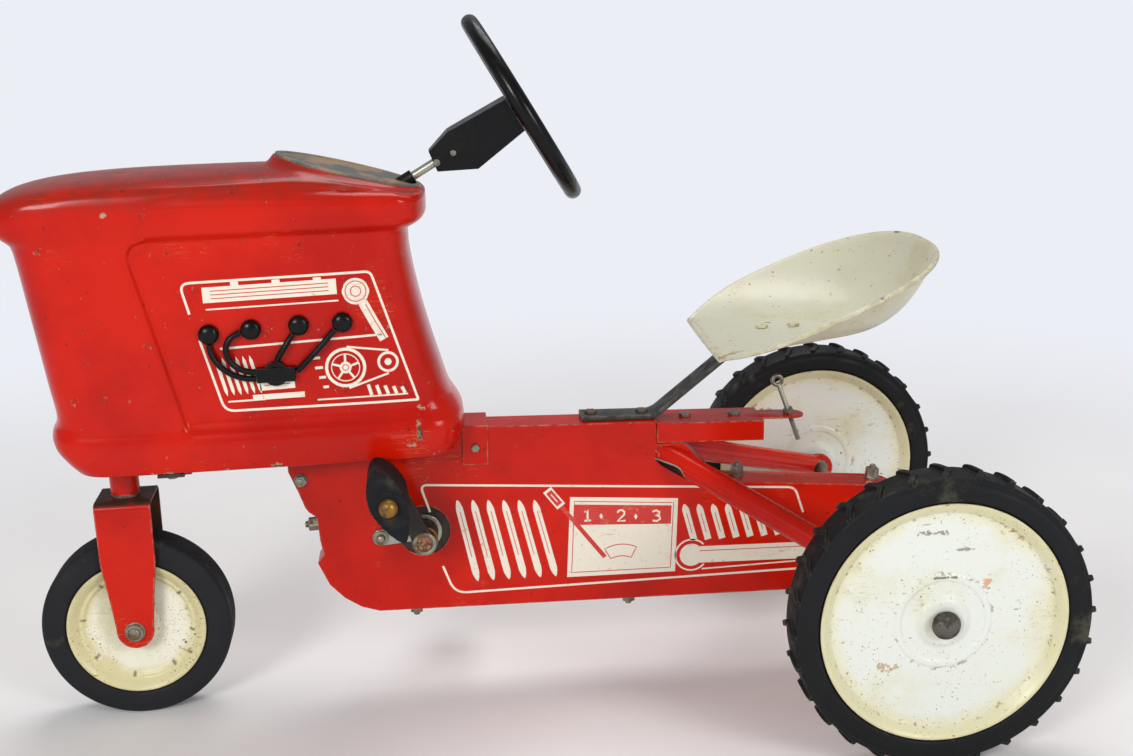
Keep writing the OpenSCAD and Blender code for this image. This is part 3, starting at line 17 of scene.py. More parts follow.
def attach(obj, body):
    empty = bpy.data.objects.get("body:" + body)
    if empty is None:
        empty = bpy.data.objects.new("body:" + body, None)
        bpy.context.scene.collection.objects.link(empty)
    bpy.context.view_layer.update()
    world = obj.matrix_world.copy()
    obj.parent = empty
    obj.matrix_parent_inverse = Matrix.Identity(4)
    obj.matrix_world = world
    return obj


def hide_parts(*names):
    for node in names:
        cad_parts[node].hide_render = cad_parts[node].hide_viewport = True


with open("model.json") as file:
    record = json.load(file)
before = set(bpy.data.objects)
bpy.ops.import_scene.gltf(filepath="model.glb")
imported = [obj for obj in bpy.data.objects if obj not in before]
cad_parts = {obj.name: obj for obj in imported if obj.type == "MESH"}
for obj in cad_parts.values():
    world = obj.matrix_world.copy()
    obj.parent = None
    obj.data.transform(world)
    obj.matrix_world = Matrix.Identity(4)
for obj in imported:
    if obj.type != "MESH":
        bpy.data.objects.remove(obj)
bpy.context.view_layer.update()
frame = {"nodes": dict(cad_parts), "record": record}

MM = 0.001
REAR_X, FRONT_X, CRANK_X = 334.525, -378.975, -101.858
REAR_R, FRONT_R, CRANK_Z = 133.35, 88.9, 168.2
CASE_SIDE = 21.0
SHEET = 1.2
SADDLE_X = REAR_X - 211
ADJUSTER_X, ADJUSTER_Z = CRANK_X - 41.2, CRANK_Z - 3.6
CROSS_X, CROSS_Z = CRANK_X - 112, CRANK_Z + 58
ROUND = 2 * np.pi
NODE_BODY = {n: b for b, names in frame["record"]["behaviour"]["bodies"].items() for n in names}
NODE_SLOT = {s["node"]: s["material_slot"] for s in frame["record"]["subparts"]}


# Meshes
def grid_faces(rows, cols, closed_rows=False):
    """Quads between neighbours in a grid of points whose columns, and rows where closed, wrap round."""
    i = np.arange(rows if closed_rows else rows - 1)[:, None]
    j = np.arange(cols)[None, :]
    k, l = (i + 1) % rows, (j + 1) % cols
    return np.stack([i * cols + j, i * cols + l, k * cols + l, k * cols + j], -1).reshape(-1, 4)


def joined(*shells):
    """Several (points, faces) shells as one: each shell's indices are shifted by the points before it."""
    points, faces, start = [], [], 0
    for p, f in shells:
        p = np.asarray(p, float).reshape(-1, 3)
        points.append(p)
        faces += [[int(i) + start for i in face] for face in f]
        start += len(p)
    return np.concatenate(points), faces


def outward(points, faces):
    """Turns every face over if the closed shell's signed volume is below zero.

    The volume is the sum of a . (b x c) / 6 over its triangles.
    """
    points = np.asarray(points, float).reshape(-1, 3)
    faces = faces.tolist() if isinstance(faces, np.ndarray) else [list(f) for f in faces]
    fans = np.array([(f[0], f[i], f[i + 1]) for f in faces for i in range(1, len(f) - 1)])
    a, b, c = points[fans[:, 0]], points[fans[:, 1]], points[fans[:, 2]]
    return points, ([f[::-1] for f in faces] if (a * np.cross(b, c)).sum() < 0 else faces)


def both_sides(shell, shift=(0, 0, 0)):
    """A shell and its mirror image in Y, as one, moved by shift."""
    return joined(*(outward(shell[0] * [1, side, 1] + shift, shell[1]) for side in (1, -1)))


def add_piece(name, mesh, material, crease, body, slot, *nodes):
    """An object of a mesh, smooth up to the crease angle, on a body and in the place of the CAD nodes."""
    mesh.materials.clear()
    mesh.materials.append(material)
    mesh.shade_smooth()
    mesh.set_sharp_from_angle(angle=math.radians(crease))
    piece = bpy.data.objects.new(name, mesh)
    bpy.context.scene.collection.objects.link(piece)
    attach(piece, body)
    if nodes:
        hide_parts(*nodes)
    return piece


def make_piece(name, shell, material, node=None, crease=38, body="chassis", slot=None):
    """A piece from points in millimetres and faces, in the place of a CAD node or beside them."""
    points, faces = shell
    mesh = bpy.data.meshes.new(name)
    places = (np.asarray(points).reshape(-1, 3) * MM).tolist()
    mesh.from_pydata(places, [], [[int(i) for i in f] for f in faces])
    mesh.update()
    if node:
        return add_piece(name, mesh, material, crease, NODE_BODY[node], NODE_SLOT[node], node)
    return add_piece(name, mesh, material, crease, body, slot)


def monotone(values, t, at):
    """A cubic through values[k] at t[k] that never overshoots: slopes are harmonic means, zero at a turn."""
    h = np.diff(t).reshape((-1,) + (1,) * (values.ndim - 1))
    d = np.diff(values, axis=0) / h
    a, b = d[:-1], d[1:]
    w1, w2 = 2 * h[1:] + h[:-1], h[1:] + 2 * h[:-1]
    same = a * b > 0
    slope = np.where(same, (w1 + w2) / (w1 / np.where(same, a, 1) + w2 / np.where(same, b, 1)), 0)
    m = np.concatenate([d[:1], slope, d[-1:]])
    k = np.clip(np.searchsorted(t, at, side="right") - 1, 0, len(t) - 2)
    step = h[k]
    s = (at - t[k]).reshape((-1,) + (1,) * (values.ndim - 1)) / step
    return ((1 + 2 * s) * (1 - s) ** 2 * values[k] + s * (1 - s) ** 2 * step * m[k]
            + s * s * (3 - 2 * s) * values[k + 1] + s * s * (s - 1) * step * m[k + 1])


def finer(rings, more_rows, more_cols):
    """Rings of points with more_rows as many rows, then more_cols as many columns, by monotone cubics."""
    def spans(t, times):
        return (t[:-1, None] + np.diff(t)[:, None] * np.arange(times) / times).ravel()

    def stations(grid):
        gap = np.linalg.norm(np.diff(grid, axis=0), axis=2).mean(1)
        return np.concatenate([[0], np.cumsum(np.maximum(gap, 1e-6))])

    t = stations(rings)
    grid = np.swapaxes(monotone(rings, t, np.append(spans(t, more_rows), t[-1])), 0, 1)
    grid = np.concatenate([grid[-3:], grid, grid[:4]])
    t = stations(grid)
    return np.swapaxes(monotone(grid, t, spans(t[3:-3], more_cols)), 0, 1)


def softened(outline, cut, steps=4, closed=True):
    """An outline with each corner swapped for a curve: (1-s)^2 a + 2 s (1-s) corner + s^2 b, cut mm away."""
    p = np.asarray(outline, float)
    before, after = np.roll(p, 1, 0) - p, np.roll(p, -1, 0) - p
    la, lb = np.linalg.norm(before, axis=1), np.linalg.norm(after, axis=1)
    c = np.minimum(np.broadcast_to(cut, la.shape), 0.45 * np.minimum(la, lb))
    a = p + before * (c / la)[:, None]
    b = p + after * (c / lb)[:, None]
    s = np.linspace(0, 1, steps)[None, :, None]
    q = (1 - s) ** 2 * a[:, None] + 2 * s * (1 - s) * p[:, None] + s * s * b[:, None]
    if closed:
        return q.reshape(-1, p.shape[1])
    return np.concatenate([p[:1], q[1:-1].reshape(-1, p.shape[1]), p[-1:]])


def angles(count):
    return np.linspace(0, ROUND, count, endpoint=False)


def turned(outline, centre, count, squeeze=None):
    """A closed outline (radius, y) carried round the Y axis: x = cx + r cos a, z = cz + r sin a."""
    line = np.asarray(outline, float)
    a = angles(count)[:, None]
    r = np.broadcast_to(line[:, 0], (count, len(line)))
    y = np.broadcast_to(line[:, 1], (count, len(line)))
    if squeeze is not None:
        r, y = squeeze(r, y, a)
    points = np.stack([centre[0] + r * np.cos(a), centre[1] + y, centre[2] + r * np.sin(a)], -1)
    return outward(points, grid_faces(count, len(line), closed_rows=True))


def capped_tube(rings):
    """Rings of points joined to a closed shell, with a flat face on each end."""
    m, n = rings.shape[:2]
    faces = [list(f) for f in grid_faces(m, n)]
    faces += [list(range(n))[::-1], list(range((m - 1) * n, m * n))]
    return outward(rings, faces)


def thickened(line, t):
    """An open line and the same line moved t to its left, as one closed outline."""
    p = np.asarray(line, float)
    e = np.diff(p, axis=0)
    e /= np.linalg.norm(e, axis=1)[:, None]
    n = np.stack([-e[:, 1], e[:, 0]], 1)
    first, last = np.concatenate([n[:1], n]), np.concatenate([n, n[-1:]])
    shift = (first + last) / (1 + (first * last).sum(1))[:, None]
    return np.concatenate([p, (p + shift * t)[::-1]])


# Finishes
def rgb(r, g, b):
    """A colour written as 0..255 screen values, as the linear values that a socket takes."""
    c = np.array([r, g, b]) / 255.0
    lin = np.where(c <= 0.04045, c / 12.92, ((c + 0.055) / 1.055) ** 2.4)
    return (*[float(v) for v in lin], 1.0)


class Layers:
    """Short ways to add nodes to a shader tree, where an input is a value or another node's socket."""

    def __init__(self, tree):
        self.tree, self.own_place = tree, None

    def put(self, kind, inputs=None, **settings):
        """A shader node with its settings and inputs."""
        node = self.tree.nodes.new("ShaderNode" + kind)
        for name, value in settings.items():
            setattr(node, name, value)
        for key, value in (inputs or {}).items():
            if isinstance(value, bpy.types.NodeSocket):
                self.tree.links.new(value, node.inputs[key])
            else:
                node.inputs[key].default_value = value
        return node

    @property
    def at(self):
        """The place on the piece, in metres."""
        if self.own_place is None:
            self.own_place = self.put("TexCoord").outputs["Object"]
        return self.own_place

    def number(self, op, a, b=0.0):
        return self.put("Math", {0: a, 1: b}, operation=op).outputs[0]

    add = partialmethod(number, "ADD")
    less = partialmethod(number, "SUBTRACT")
    times = partialmethod(number, "MULTIPLY")
    most = partialmethod(number, "MAXIMUM")

    def vector(self, op, a, b=(0, 0, 0), out="Vector"):
        return self.put("VectorMath", {0: a, 1: b}, operation=op).outputs[out]

    def length(self, a):
        return self.vector("LENGTH", a, out="Value")

    def eased(self, value, low, high, to_low=0.0, to_high=1.0):
        """value spread from low..high to to_low..to_high with soft ends."""
        spread = {"Value": value, "From Min": low, "From Max": high, "To Min": to_low, "To Max": to_high}
        return self.put("MapRange", spread, interpolation_type="SMOOTHSTEP").outputs[0]

    def band(self, value, a, b, c, d):
        """1 where value lies between b and c, falling to 0 at a and d."""
        return self.times(self.eased(value, a, b), self.eased(value, c, d, 1, 0))

    def tint(self, factor, a, b):
        """Colour a where factor is 0 and colour b where it is 1. A colour is a socket or 0..255 values."""
        a, b = (rgb(*c) if isinstance(c, tuple) else c for c in (a, b))
        return self.put("Mix", {0: factor, 6: a, 7: b}, data_type="RGBA").outputs[2]

    def over(self, colour, mask, share, shade):
        """The colour with a shade laid over it where the mask is, as full as the share."""
        return self.tint(self.times(mask, share), colour, shade)

    def cloud(self, scale, detail=3.0, rough=0.55, at=None):
        inputs = {"Vector": self.at if at is None else at, "Scale": scale, "Detail": detail,
                  "Roughness": rough}
        return self.put("TexNoise", inputs).outputs[0]

    def mask(self, group, *values):
        """The mask of an effect's node group, with its inputs in their order."""
        return self.put("Group", dict(enumerate(values)), node_tree=group).outputs["Mask"]

    def from_axis(self, x, z):
        """Distance in metres from a wheel's or crank's axis at x and z, and the way out from it."""
        flat = self.vector("MULTIPLY", self.vector("SUBTRACT", self.at, (x * MM, 0, z * MM)), (1, 0, 1))
        return self.length(flat), flat

    def ragged(self, noise):
        """Noise with a fine grain, which breaks up the edges of worn patches."""
        return self.add(self.times(noise, 2.0), self.times(self.cloud(320.0, 3.0, 0.6), 1.8))

    def patch(self, spot, reach, ragged):
        """A worn patch round a spot, reach mm in x, y and z: full in its middle, ragged at its edge."""
        off = self.vector("SUBTRACT", self.at, tuple(c * MM for c in spot))
        far = self.length(self.vector("MULTIPLY", off, tuple(1 / (r * MM) for r in reach)))
        return self.eased(self.add(self.eased(far, 0, 1, 1, 0), ragged), 2.38, 2.62)


class Finish(Layers):
    """A material with a Principled shader whose unchanging values are set on its own sockets."""

    def __init__(self, name, **constants):
        self.material = bpy.data.materials.new(name)
        self.material.use_nodes = True
        super().__init__(self.material.node_tree)
        self.shader = self.tree.nodes["Principled BSDF"]
        for key, value in constants.items():
            self.shader.inputs[key.replace("_", " ")].default_value = value

    def done(self, colour, rough, height=None, metal=None, relief=0.25, depth=0.0004):
        """The material, with its changing values linked: height is a mask of bumps depth metres high."""
        links = {"Base Color": colour, "Roughness": rough}
        if metal is not None:
            links["Metallic"] = metal
        if height is not None:
            bump = self.put("Bump", {"Height": height, "Strength": relief, "Distance": depth})
            links["Normal"] = bump.outputs[0]
        for key, socket in links.items():
            self.tree.links.new(socket, self.shader.inputs[key])
        return self.material


def new_group(name, **inputs):
    """An effect's node group: named number inputs with their defaults, and one number out, its mask."""
    tree = bpy.data.node_groups.new(name, "ShaderNodeTree")
    for key, value in inputs.items():
        socket = tree.interface.new_socket(name=key, in_out="INPUT", socket_type="NodeSocketFloat")
        socket.default_value = value
    tree.interface.new_socket(name="Mask", in_out="OUTPUT", socket_type="NodeSocketFloat")
    return Layers(tree), tree.nodes.new("NodeGroupInput").outputs


def close_group(marks, mask):
    marks.tree.links.new(mask, marks.tree.nodes.new("NodeGroupOutput").inputs["Mask"])
    return marks.tree


def edge_wear_group():
    """Rubbed edges: one less the dot of the true and the rounded normal, broken up by noise."""
    marks, given = new_group("edge wear", Reach=0.002, Breakup=90.0, Amount=0.5)
    soft = marks.put("Bevel", {"Radius": given["Reach"]}, samples=4).outputs[0]
    true = marks.put("NewGeometry").outputs["Normal"]
    bent = marks.less(1.0, marks.vector("DOT_PRODUCT", soft, true, "Value"))
    noise, gate = marks.cloud(given["Breakup"], 4.0, 0.65), marks.less(1.0, given["Amount"])
    rub = marks.eased(marks.add(noise, marks.times(bent, 0.6)), marks.add(gate, 0.02), marks.add(gate, 0.14))
    return close_group(marks, marks.times(marks.eased(bent, 0.015, 0.09), rub))


def specks_group():
    """Small spots: near a random cell's middle, in the share of cells that Amount gives."""
    marks, given = new_group("specks", Scale=90.0, Size=0.2, Amount=0.4)
    warp = marks.put("TexNoise", {"Vector": marks.at, "Scale": 260.0, "Detail": 2.0}).outputs[1]
    shift = {0: warp, 1: (0.006,) * 3, 2: marks.at}
    moved = marks.put("VectorMath", shift, operation="MULTIPLY_ADD").outputs[0]
    cells = marks.put("TexVoronoi", {"Vector": moved, "Scale": given["Scale"]}).outputs
    spot = marks.eased(cells["Distance"], given["Size"], marks.times(given["Size"], 0.45))
    pick = marks.put("SeparateColor", {0: cells["Color"]}).outputs[0]
    return close_group(marks, marks.times(spot, marks.number("LESS_THAN", pick, given["Amount"])))


def scratches_group():
    """Thin scratches: a narrow band of a noise stretched along two slants, let through in patches."""
    marks, given = new_group("scratches", Scale=16.0, Width=0.012, Amount=0.4)
    lines = []
    for turn, stretch in (((0.3, 0.5, 0.2), (1.0, 6.0, 22.0)), ((0.1, -0.65, 0.4), (2.0, 5.0, 30.0))):
        slant = marks.put("Mapping", {"Vector": marks.at, "Rotation": turn, "Scale": stretch}).outputs[0]
        off = marks.number("ABSOLUTE", marks.less(marks.cloud(given["Scale"], 1.0, 0.4, slant), 0.5))
        lines.append(marks.eased(off, given["Width"], marks.times(given["Width"], 0.3)))
    gate = marks.less(1.0, given["Amount"])
    let = marks.eased(marks.cloud(14.0), gate, marks.add(gate, 0.08))
    return close_group(marks, marks.times(marks.most(*lines), let))


EDGE_WEAR, SPECKS, SCRATCHES = edge_wear_group(), specks_group(), scratches_group()


def red_enamel(name="red enamel", wear=0.52, chips=0.16, patches=(), grime=None, inner=None, crown=None):
    """Glossy red paint with rubbed edges, chips, scratches and bare patches.

    Grime lies above the height grime mm, and the paint is darker brown inside the half width inner mm.
    A brown darkening, partly age and partly painted shade, rises from crown mm.
    """
    coat = Finish(name, Coat_Weight=0.16, Coat_Roughness=0.12, Specular_IOR_Level=0.14)
    broad, fine = coat.cloud(9.0, 4.0), coat.cloud(60.0, 5.0, 0.6)
    colour = coat.tint(coat.eased(broad, 0.35, 0.7), (198, 25, 3), (172, 16, 3))
    colour = coat.tint(coat.eased(fine, 0.6, 0.78, 0, 0.45), colour, (112, 18, 10))
    colour = coat.over(colour, coat.mask(SCRATCHES, 16.0, 0.006, 0.4), 0.45, (222, 150, 90))
    parts = coat.put("SeparateXYZ", {0: coat.at}).outputs
    # Painted shade and age browning: the upper crown darkened towards a brown red.
    if crown:
        aged_and_shaded = coat.times(coat.eased(parts[2], crown * MM, (crown + 26) * MM, 0, 0.75),
                          coat.eased(fine, 0.3, 0.6, 0.5, 1))
        colour = coat.tint(aged_and_shaded, colour, (118, 40, 30))
    colour = coat.over(colour, coat.mask(SPECKS, 130.0, 0.2, chips), 0.8, (84, 34, 24))
    bare = coat.times(coat.mask(EDGE_WEAR, 0.0022, 70.0, wear), 0.85)
    ragged = coat.ragged(fine) if patches else None
    for spot, reach in patches:
        bare = coat.most(bare, coat.patch(spot, reach, ragged))
    metal = coat.tint(coat.eased(coat.cloud(150.0, 4.0), 0.42, 0.6), (176, 144, 116), (84, 54, 42))
    colour = coat.tint(bare, colour, metal)
    # Grime darkens the fork's top, and the paint is also darker brown inside the half width inner.
    if grime:
        high = coat.eased(parts[2], (grime - 1.6) * MM, grime * MM)
        deep = coat.eased(coat.number("ABSOLUTE", parts[1]), (inner - 1) * MM, inner * MM, 1, 0)
        grime_and_dark_inside = coat.times(coat.most(high, deep), coat.eased(fine, 0.3, 0.5, 0.75, 1))
        bare, colour = coat.most(bare, grime_and_dark_inside), coat.tint(grime_and_dark_inside, colour, (62, 42, 32))
    rough = coat.eased(coat.add(bare, coat.times(fine, 0.4)), 0.0, 1.0, 0.2, 0.62)
    height = coat.less(coat.cloud(420.0, 2.0), coat.times(bare, 1.5))
    return coat.done(colour, rough, height, relief=0.12, depth=0.0003)


def cream_enamel(name, base, yellow, rust=0.3, reach=0.003, axis=None, rim=0.1, spokes=0, rings=(),
                 stains=()):
    """Off-white paint, yellowed in clouds and towards the rim, with rust, streaks, stains and worn dents."""
    coat = Finish(name, Coat_Weight=0.15, Coat_Roughness=0.2, Specular_IOR_Level=0.35)
    broad, fine = coat.cloud(14.0, 4.0, 0.6), coat.cloud(90.0, 5.0, 0.6)
    old = coat.eased(broad, 0.45, 0.75, 0, 0.6)
    if axis:
        out, flat = coat.from_axis(*axis)
        uneven = coat.add(coat.times(fine, 0.016), coat.times(broad, 0.022))
        old = coat.most(old, coat.eased(coat.add(out, uneven), rim, rim * 1.24, 0, 0.85))
    colour = coat.tint(old, base, yellow)
    stain = coat.eased(coat.add(coat.times(broad, 0.5), coat.times(fine, 0.6)), 0.64, 0.8, 0, 0.3)
    colour = coat.tint(stain, colour, (158, 136, 92))
    streak = coat.put("Mapping", {"Vector": coat.at, "Rotation": (0, -0.35, 0), "Scale": (45, 60, 170)})
    rusty = coat.eased(coat.cloud(1.0, 3.0, 0.6, streak.outputs[0]), 0.66, 0.74, 0, 0.75)
    spots = coat.most(coat.mask(SPECKS, 210.0, 0.2, rust), coat.mask(SPECKS, 420.0, 0.24, rust * 1.4))
    pits = coat.times(coat.most(spots, rusty), coat.eased(coat.cloud(17.0, 2.0), 0.42, 0.6, 0.1, 1))
    colour = coat.tint(pits, colour, coat.tint(coat.eased(broad, 0.4, 0.6), (84, 62, 36), (160, 116, 64)))
    ragged = coat.ragged(fine) if stains else None
    for spot, size, shade in stains:
        colour = coat.over(colour, coat.patch(spot, size, ragged), 0.75, shade)
    for r in rings:
        dots = coat.eased(coat.cloud(170.0), 0.56, 0.66, 0, 0.7)
        ring = coat.band(out, r - 0.003, r - 0.0005, r + 0.0005, r + 0.003)
        colour = coat.over(colour, ring, dots, (140, 104, 60))
    if spokes:
        parts = coat.put("SeparateXYZ", {0: flat}).outputs
        turn = coat.number("ARCTAN2", parts[2], parts[0])
        ray = coat.number("PINGPONG", coat.add(turn, 3.3), math.pi / spokes)
        thin = coat.eased(coat.add(ray, coat.times(fine, 0.04)), 0.02, 0.07, 1, 0)
        dents = coat.times(thin, coat.band(out, 0.0475, 0.0495, 0.0525, 0.055))
        colour = coat.over(colour, dents, 0.8, (84, 70, 48))
    colour = coat.over(colour, coat.mask(SCRATCHES, 24.0, 0.007, 0.47), 0.45, (130, 108, 80))
    colour = coat.over(colour, coat.mask(EDGE_WEAR, reach, 85.0, 0.5), 0.65, (140, 112, 66))
    rough = coat.eased(coat.add(pits, fine), 0.2, 1.4, 0.3, 0.7)
    return coat.done(colour, rough, coat.less(coat.cloud(350.0, 2.0), pits), relief=0.15, depth=0.0003)


def rubber(name, dark, dust, dusty, rough=(0.55, 0.85)):
    """Moulded rubber, dusty in clouds and along its edges."""
    coat = Finish(name, Specular_IOR_Level=0.2)
    broad, fine = coat.cloud(22.0, 5.0, 0.6), coat.cloud(300.0)
    colour = coat.tint(coat.eased(broad, 1 - dusty, 1.15 - dusty, 0, 0.7), dark, dust)
    colour = coat.over(colour, coat.mask(EDGE_WEAR, 0.0015, 160.0, 0.5), 0.6, dust)
    return coat.done(colour, coat.eased(broad, 0.3, 0.7, *rough), fine)


def gloss_black():
    """A black moulding, scratched and greyed along its edges."""
    coat = Finish("black moulding", Coat_Weight=0.12, Coat_Roughness=0.1, Specular_IOR_Level=0.16)
    fine = coat.cloud(120.0, 4.0)
    colour = coat.over((7, 7, 8), coat.mask(SCRATCHES, 30.0, 0.01, 0.42), 0.35, (60, 58, 54))
    colour = coat.over(colour, coat.mask(EDGE_WEAR, 0.0012, 120.0, 0.42), 0.5, (120, 116, 104))
    return coat.done(colour, coat.eased(fine, 0.3, 0.75, 0.22, 0.45), fine, relief=0.08, depth=0.0003)


def steel(name, bright, rust, rusty, rough=(0.32, 0.6), hollow=None):
    """Plated or bare steel: rust takes over where the noise is high, and in a hollow round an axis."""
    coat = Finish(name)
    broad, fine = coat.cloud(70.0, 5.0, 0.65), coat.cloud(400.0)
    mask = coat.eased(broad, 1 - rusty, 1.12 - rusty)
    colour = coat.tint(mask, bright, rust)
    if hollow:
        inside = coat.eased(coat.from_axis(*hollow)[0], 0.0068, 0.0078, 1, 0)
        deep = coat.tint(coat.eased(fine, 0.4, 0.6), (170, 110, 80), (84, 62, 46))
        colour = coat.tint(inside, colour, deep)
        mask = coat.most(mask, inside)
    colour = coat.over(colour, coat.mask(EDGE_WEAR, 0.0008, 200.0, 0.5), 0.5, (196, 190, 176))
    return coat.done(colour, coat.eased(coat.add(mask, fine), 0.2, 1.6, *rough), fine,
                     coat.eased(mask, 0, 1, 0.85, 0.25), 0.3, 0.0003)


def dash_finish():
    """The oval plate: a worn gold ground with brown and blue-grey clouds, rubbed to grey at its rim."""
    coat = Finish("dash plate print", Coat_Weight=0.2)
    fine = coat.cloud(130.0, 4.0)
    colour = coat.tint(coat.eased(coat.cloud(38.0, 5.0, 0.6), 0.42, 0.58), (150, 112, 58), (74, 68, 66))
    colour = coat.tint(coat.eased(fine, 0.5, 0.7, 0, 0.7), colour, (92, 100, 116))
    colour = coat.tint(coat.mask(EDGE_WEAR, 0.002, 60.0, 0.7), colour, (128, 126, 112))
    return coat.done(colour, coat.eased(fine, 0.3, 0.7, 0.35, 0.6), fine, relief=0.2)


def seat_bolt_finish():
    """Bolts painted over with the seat above its floor, and dark steel below."""
    coat = Finish("seat bolt finish", Specular_IOR_Level=0.4)
    fine = coat.cloud(220.0, 4.0)
    painted = coat.eased(coat.put("SeparateXYZ", {0: coat.at}).outputs[2], 0.3405, 0.3415)
    dark = coat.tint(coat.eased(fine, 0.45, 0.6), (70, 66, 60), (92, 68, 50))
    pale = coat.tint(coat.eased(fine, 0.48, 0.62), (208, 202, 172), (168, 148, 100))
    return coat.done(coat.tint(painted, dark, pale), coat.eased(fine, 0.2, 0.8, 0.4, 0.65), fine)


def print_finish(name, ink, worn_to):
    """Printed enamel, a little worn through to what is under it."""
    coat = Finish(name, Coat_Weight=0.25, Coat_Roughness=0.15)
    fine = coat.cloud(150.0, 4.0, 0.6)
    colour = coat.over(ink, coat.mask(SCRATCHES, 26.0, 0.009, 0.46), 0.7, worn_to)
    colour = coat.tint(coat.eased(fine, 0.6, 0.75, 0, 0.5), colour, worn_to)
    return coat.done(colour, coat.eased(fine, 0.3, 0.7, 0.28, 0.42), fine, relief=0.05)


def on_discs(*stains):
    """Stains given from the left rear wheel's middle, each with its reach and shade."""
    return tuple(((REAR_X + x, y, REAR_R + z), reach, shade) for x, y, z, reach, shade in stains)


RED = red_enamel()
BONNET_RED = red_enamel("bonnet enamel", crown=486, patches=(
    ((-100, -62, 281), (5, 30, 26)), ((-97, -62, 300), (9, 30, 7)), ((-108, -66, 268), (12, 30, 5)),
    ((-230, -66, 256), (9, 30, 6)), ((-440, -62, 290), (9, 20, 14)), ((-452, -52, 272), (12, 20, 8)),
    ((-330, -67, 254), (22, 20, 5)), ((-470, -40, 474), (12, 16, 12)), ((-358, -66, 490), (6, 14, 4)),
    ((-150, 64, 262), (20, 20, 6)), ((-420, 62, 300), (10, 20, 16))))
FORK_RED = red_enamel("fork enamel", wear=0.62, grime=216.5, inner=26.6)
STRUT_RED = red_enamel("strut enamel", wear=0.6, chips=0.3)
DISC_CREAM = cream_enamel(
    "disc enamel", (219, 222, 214), (212, 205, 158), axis=(REAR_X, REAR_R), rings=(0.0435, 0.0975),
    stains=on_discs(
        (0, -235, 40, (24, 20, 3), (58, 52, 42)), (38, -235, 34, (9, 20, 12), (204, 136, 90)),
        (-8, -235, 80, (26, 20, 5), (112, 84, 52)), (18, -235, 64, (16, 20, 2.6), (120, 112, 96)),
        (-48, -235, -40, (20, 20, 9), (168, 136, 84)), (-60, 205, 62, (26, 20, 10), (132, 98, 56))))
FRONT_CREAM = cream_enamel("front disc enamel", (232, 229, 210), (210, 200, 146), rust=0.8,
                           axis=(FRONT_X, FRONT_R), rim=0.058, spokes=8)
SEAT_CREAM = cream_enamel("seat enamel", (205, 203, 180), (192, 184, 138), rust=0.08, reach=0.006, stains=(
    ((377, 59, 418), (9, 9, 5), (58, 46, 36)), ((308, -122, 393), (12, 9, 5), (58, 46, 36)),
    ((263, -127, 375), (18, 7, 4), (112, 88, 54)), ((182, -80, 339), (22, 14, 7), (150, 122, 78))))
TYRE = rubber("tyre rubber", (19, 20, 22), (78, 76, 62), 0.42, (0.42, 0.75))
FRONT_TYRE = rubber("front tyre rubber", (31, 32, 35), (80, 79, 66), 0.4)
PEDAL_RUBBER = rubber("pedal rubber", (20, 21, 27), (66, 63, 50), 0.44)
LEAD_RUBBER = rubber("lead rubber", (12, 12, 14), (60, 56, 50), 0.25, (0.25, 0.5))
BLACK = gloss_black()
ZINC = steel("zinc plated steel", (138, 136, 124), (92, 70, 48), 0.5)
PALE_STEEL = steel("tube steel", (170, 170, 156), (112, 90, 62), 0.45, (0.35, 0.55))
DARK_STEEL = steel("dark rusty steel", (66, 63, 60), (56, 40, 32), 0.55, (0.45, 0.75))
OLD_STEEL = steel("weathered steel", (146, 144, 128), (104, 80, 56), 0.5, (0.4, 0.65))
CAP_STEEL = steel("hub cap steel", (104, 101, 94), (60, 51, 44), 0.56, (0.5, 0.75))
# A near-black steel that paints the shadow in the gap under the struts' front ends.
SLOT_SHADOW = steel("painted slot shadow", (26, 21, 19), (42, 28, 22), 0.5, (0.6, 0.8))
CRANK_STEEL = steel("crank steel", (52, 50, 48), (50, 38, 32), 0.5, (0.4, 0.7), hollow=(CRANK_X, CRANK_Z))
BAR_STEEL = steel("seat bar steel", (84, 84, 80), (48, 43, 40), 0.55, (0.35, 0.65))
BRASS = steel("brass", (150, 112, 50), (74, 54, 34), 0.52, (0.38, 0.62))
DASH = dash_finish()
SEAT_BOLT = seat_bolt_finish()
INK = print_finish("cream print", (228, 220, 202), (176, 96, 76))
RED_INK = print_finish("red print", (196, 34, 22), (226, 190, 160))


# Carried-over CAD nodes
SHARP = 34


def dress(node, material, bevel, fold=None):
    """A merged copy of a CAD node: flat faces rejoined, and sharp edges or folds rounded by bevel mm."""
    source = frame["nodes"][node]
    mesh = source.data.copy()
    mesh.transform(source.matrix_world)
    shape = bmesh.new()
    shape.from_mesh(mesh)
    bmesh.ops.remove_doubles(shape, verts=shape.verts, dist=2e-6)
    bmesh.ops.dissolve_limit(shape, angle_limit=math.radians(0.7), verts=shape.verts, edges=shape.edges)
    if fold:
        weight = shape.edges.layers.float.new("bevel_weight_edge")
        for edge in shape.edges:
            edge[weight] = fold(edge)
    shape.to_mesh(mesh)
    shape.free()
    piece = add_piece(node + "_finished", mesh, material, SHARP, NODE_BODY[node], NODE_SLOT[node], node)
    ease = piece.modifiers.new("eased edges", "BEVEL")
    ease.width = bevel * MM
    ease.segments = 4 if fold else 2
    ease.limit_method = "WEIGHT" if fold else "ANGLE"
    ease.angle_limit = math.radians(SHARP)
    ease.harden_normals = False
    ease.miter_outer = "MITER_ARC"


FOLD = 3.6
CRANK_HOLE = 24.5
CLEAR_OF_BOLT = 13
CASE_BOLTS = [(REAR_X, REAR_R), (CROSS_X, CROSS_Z), (ADJUSTER_X, ADJUSTER_Z), (-49.5, 248), (141.1, 222.6)]


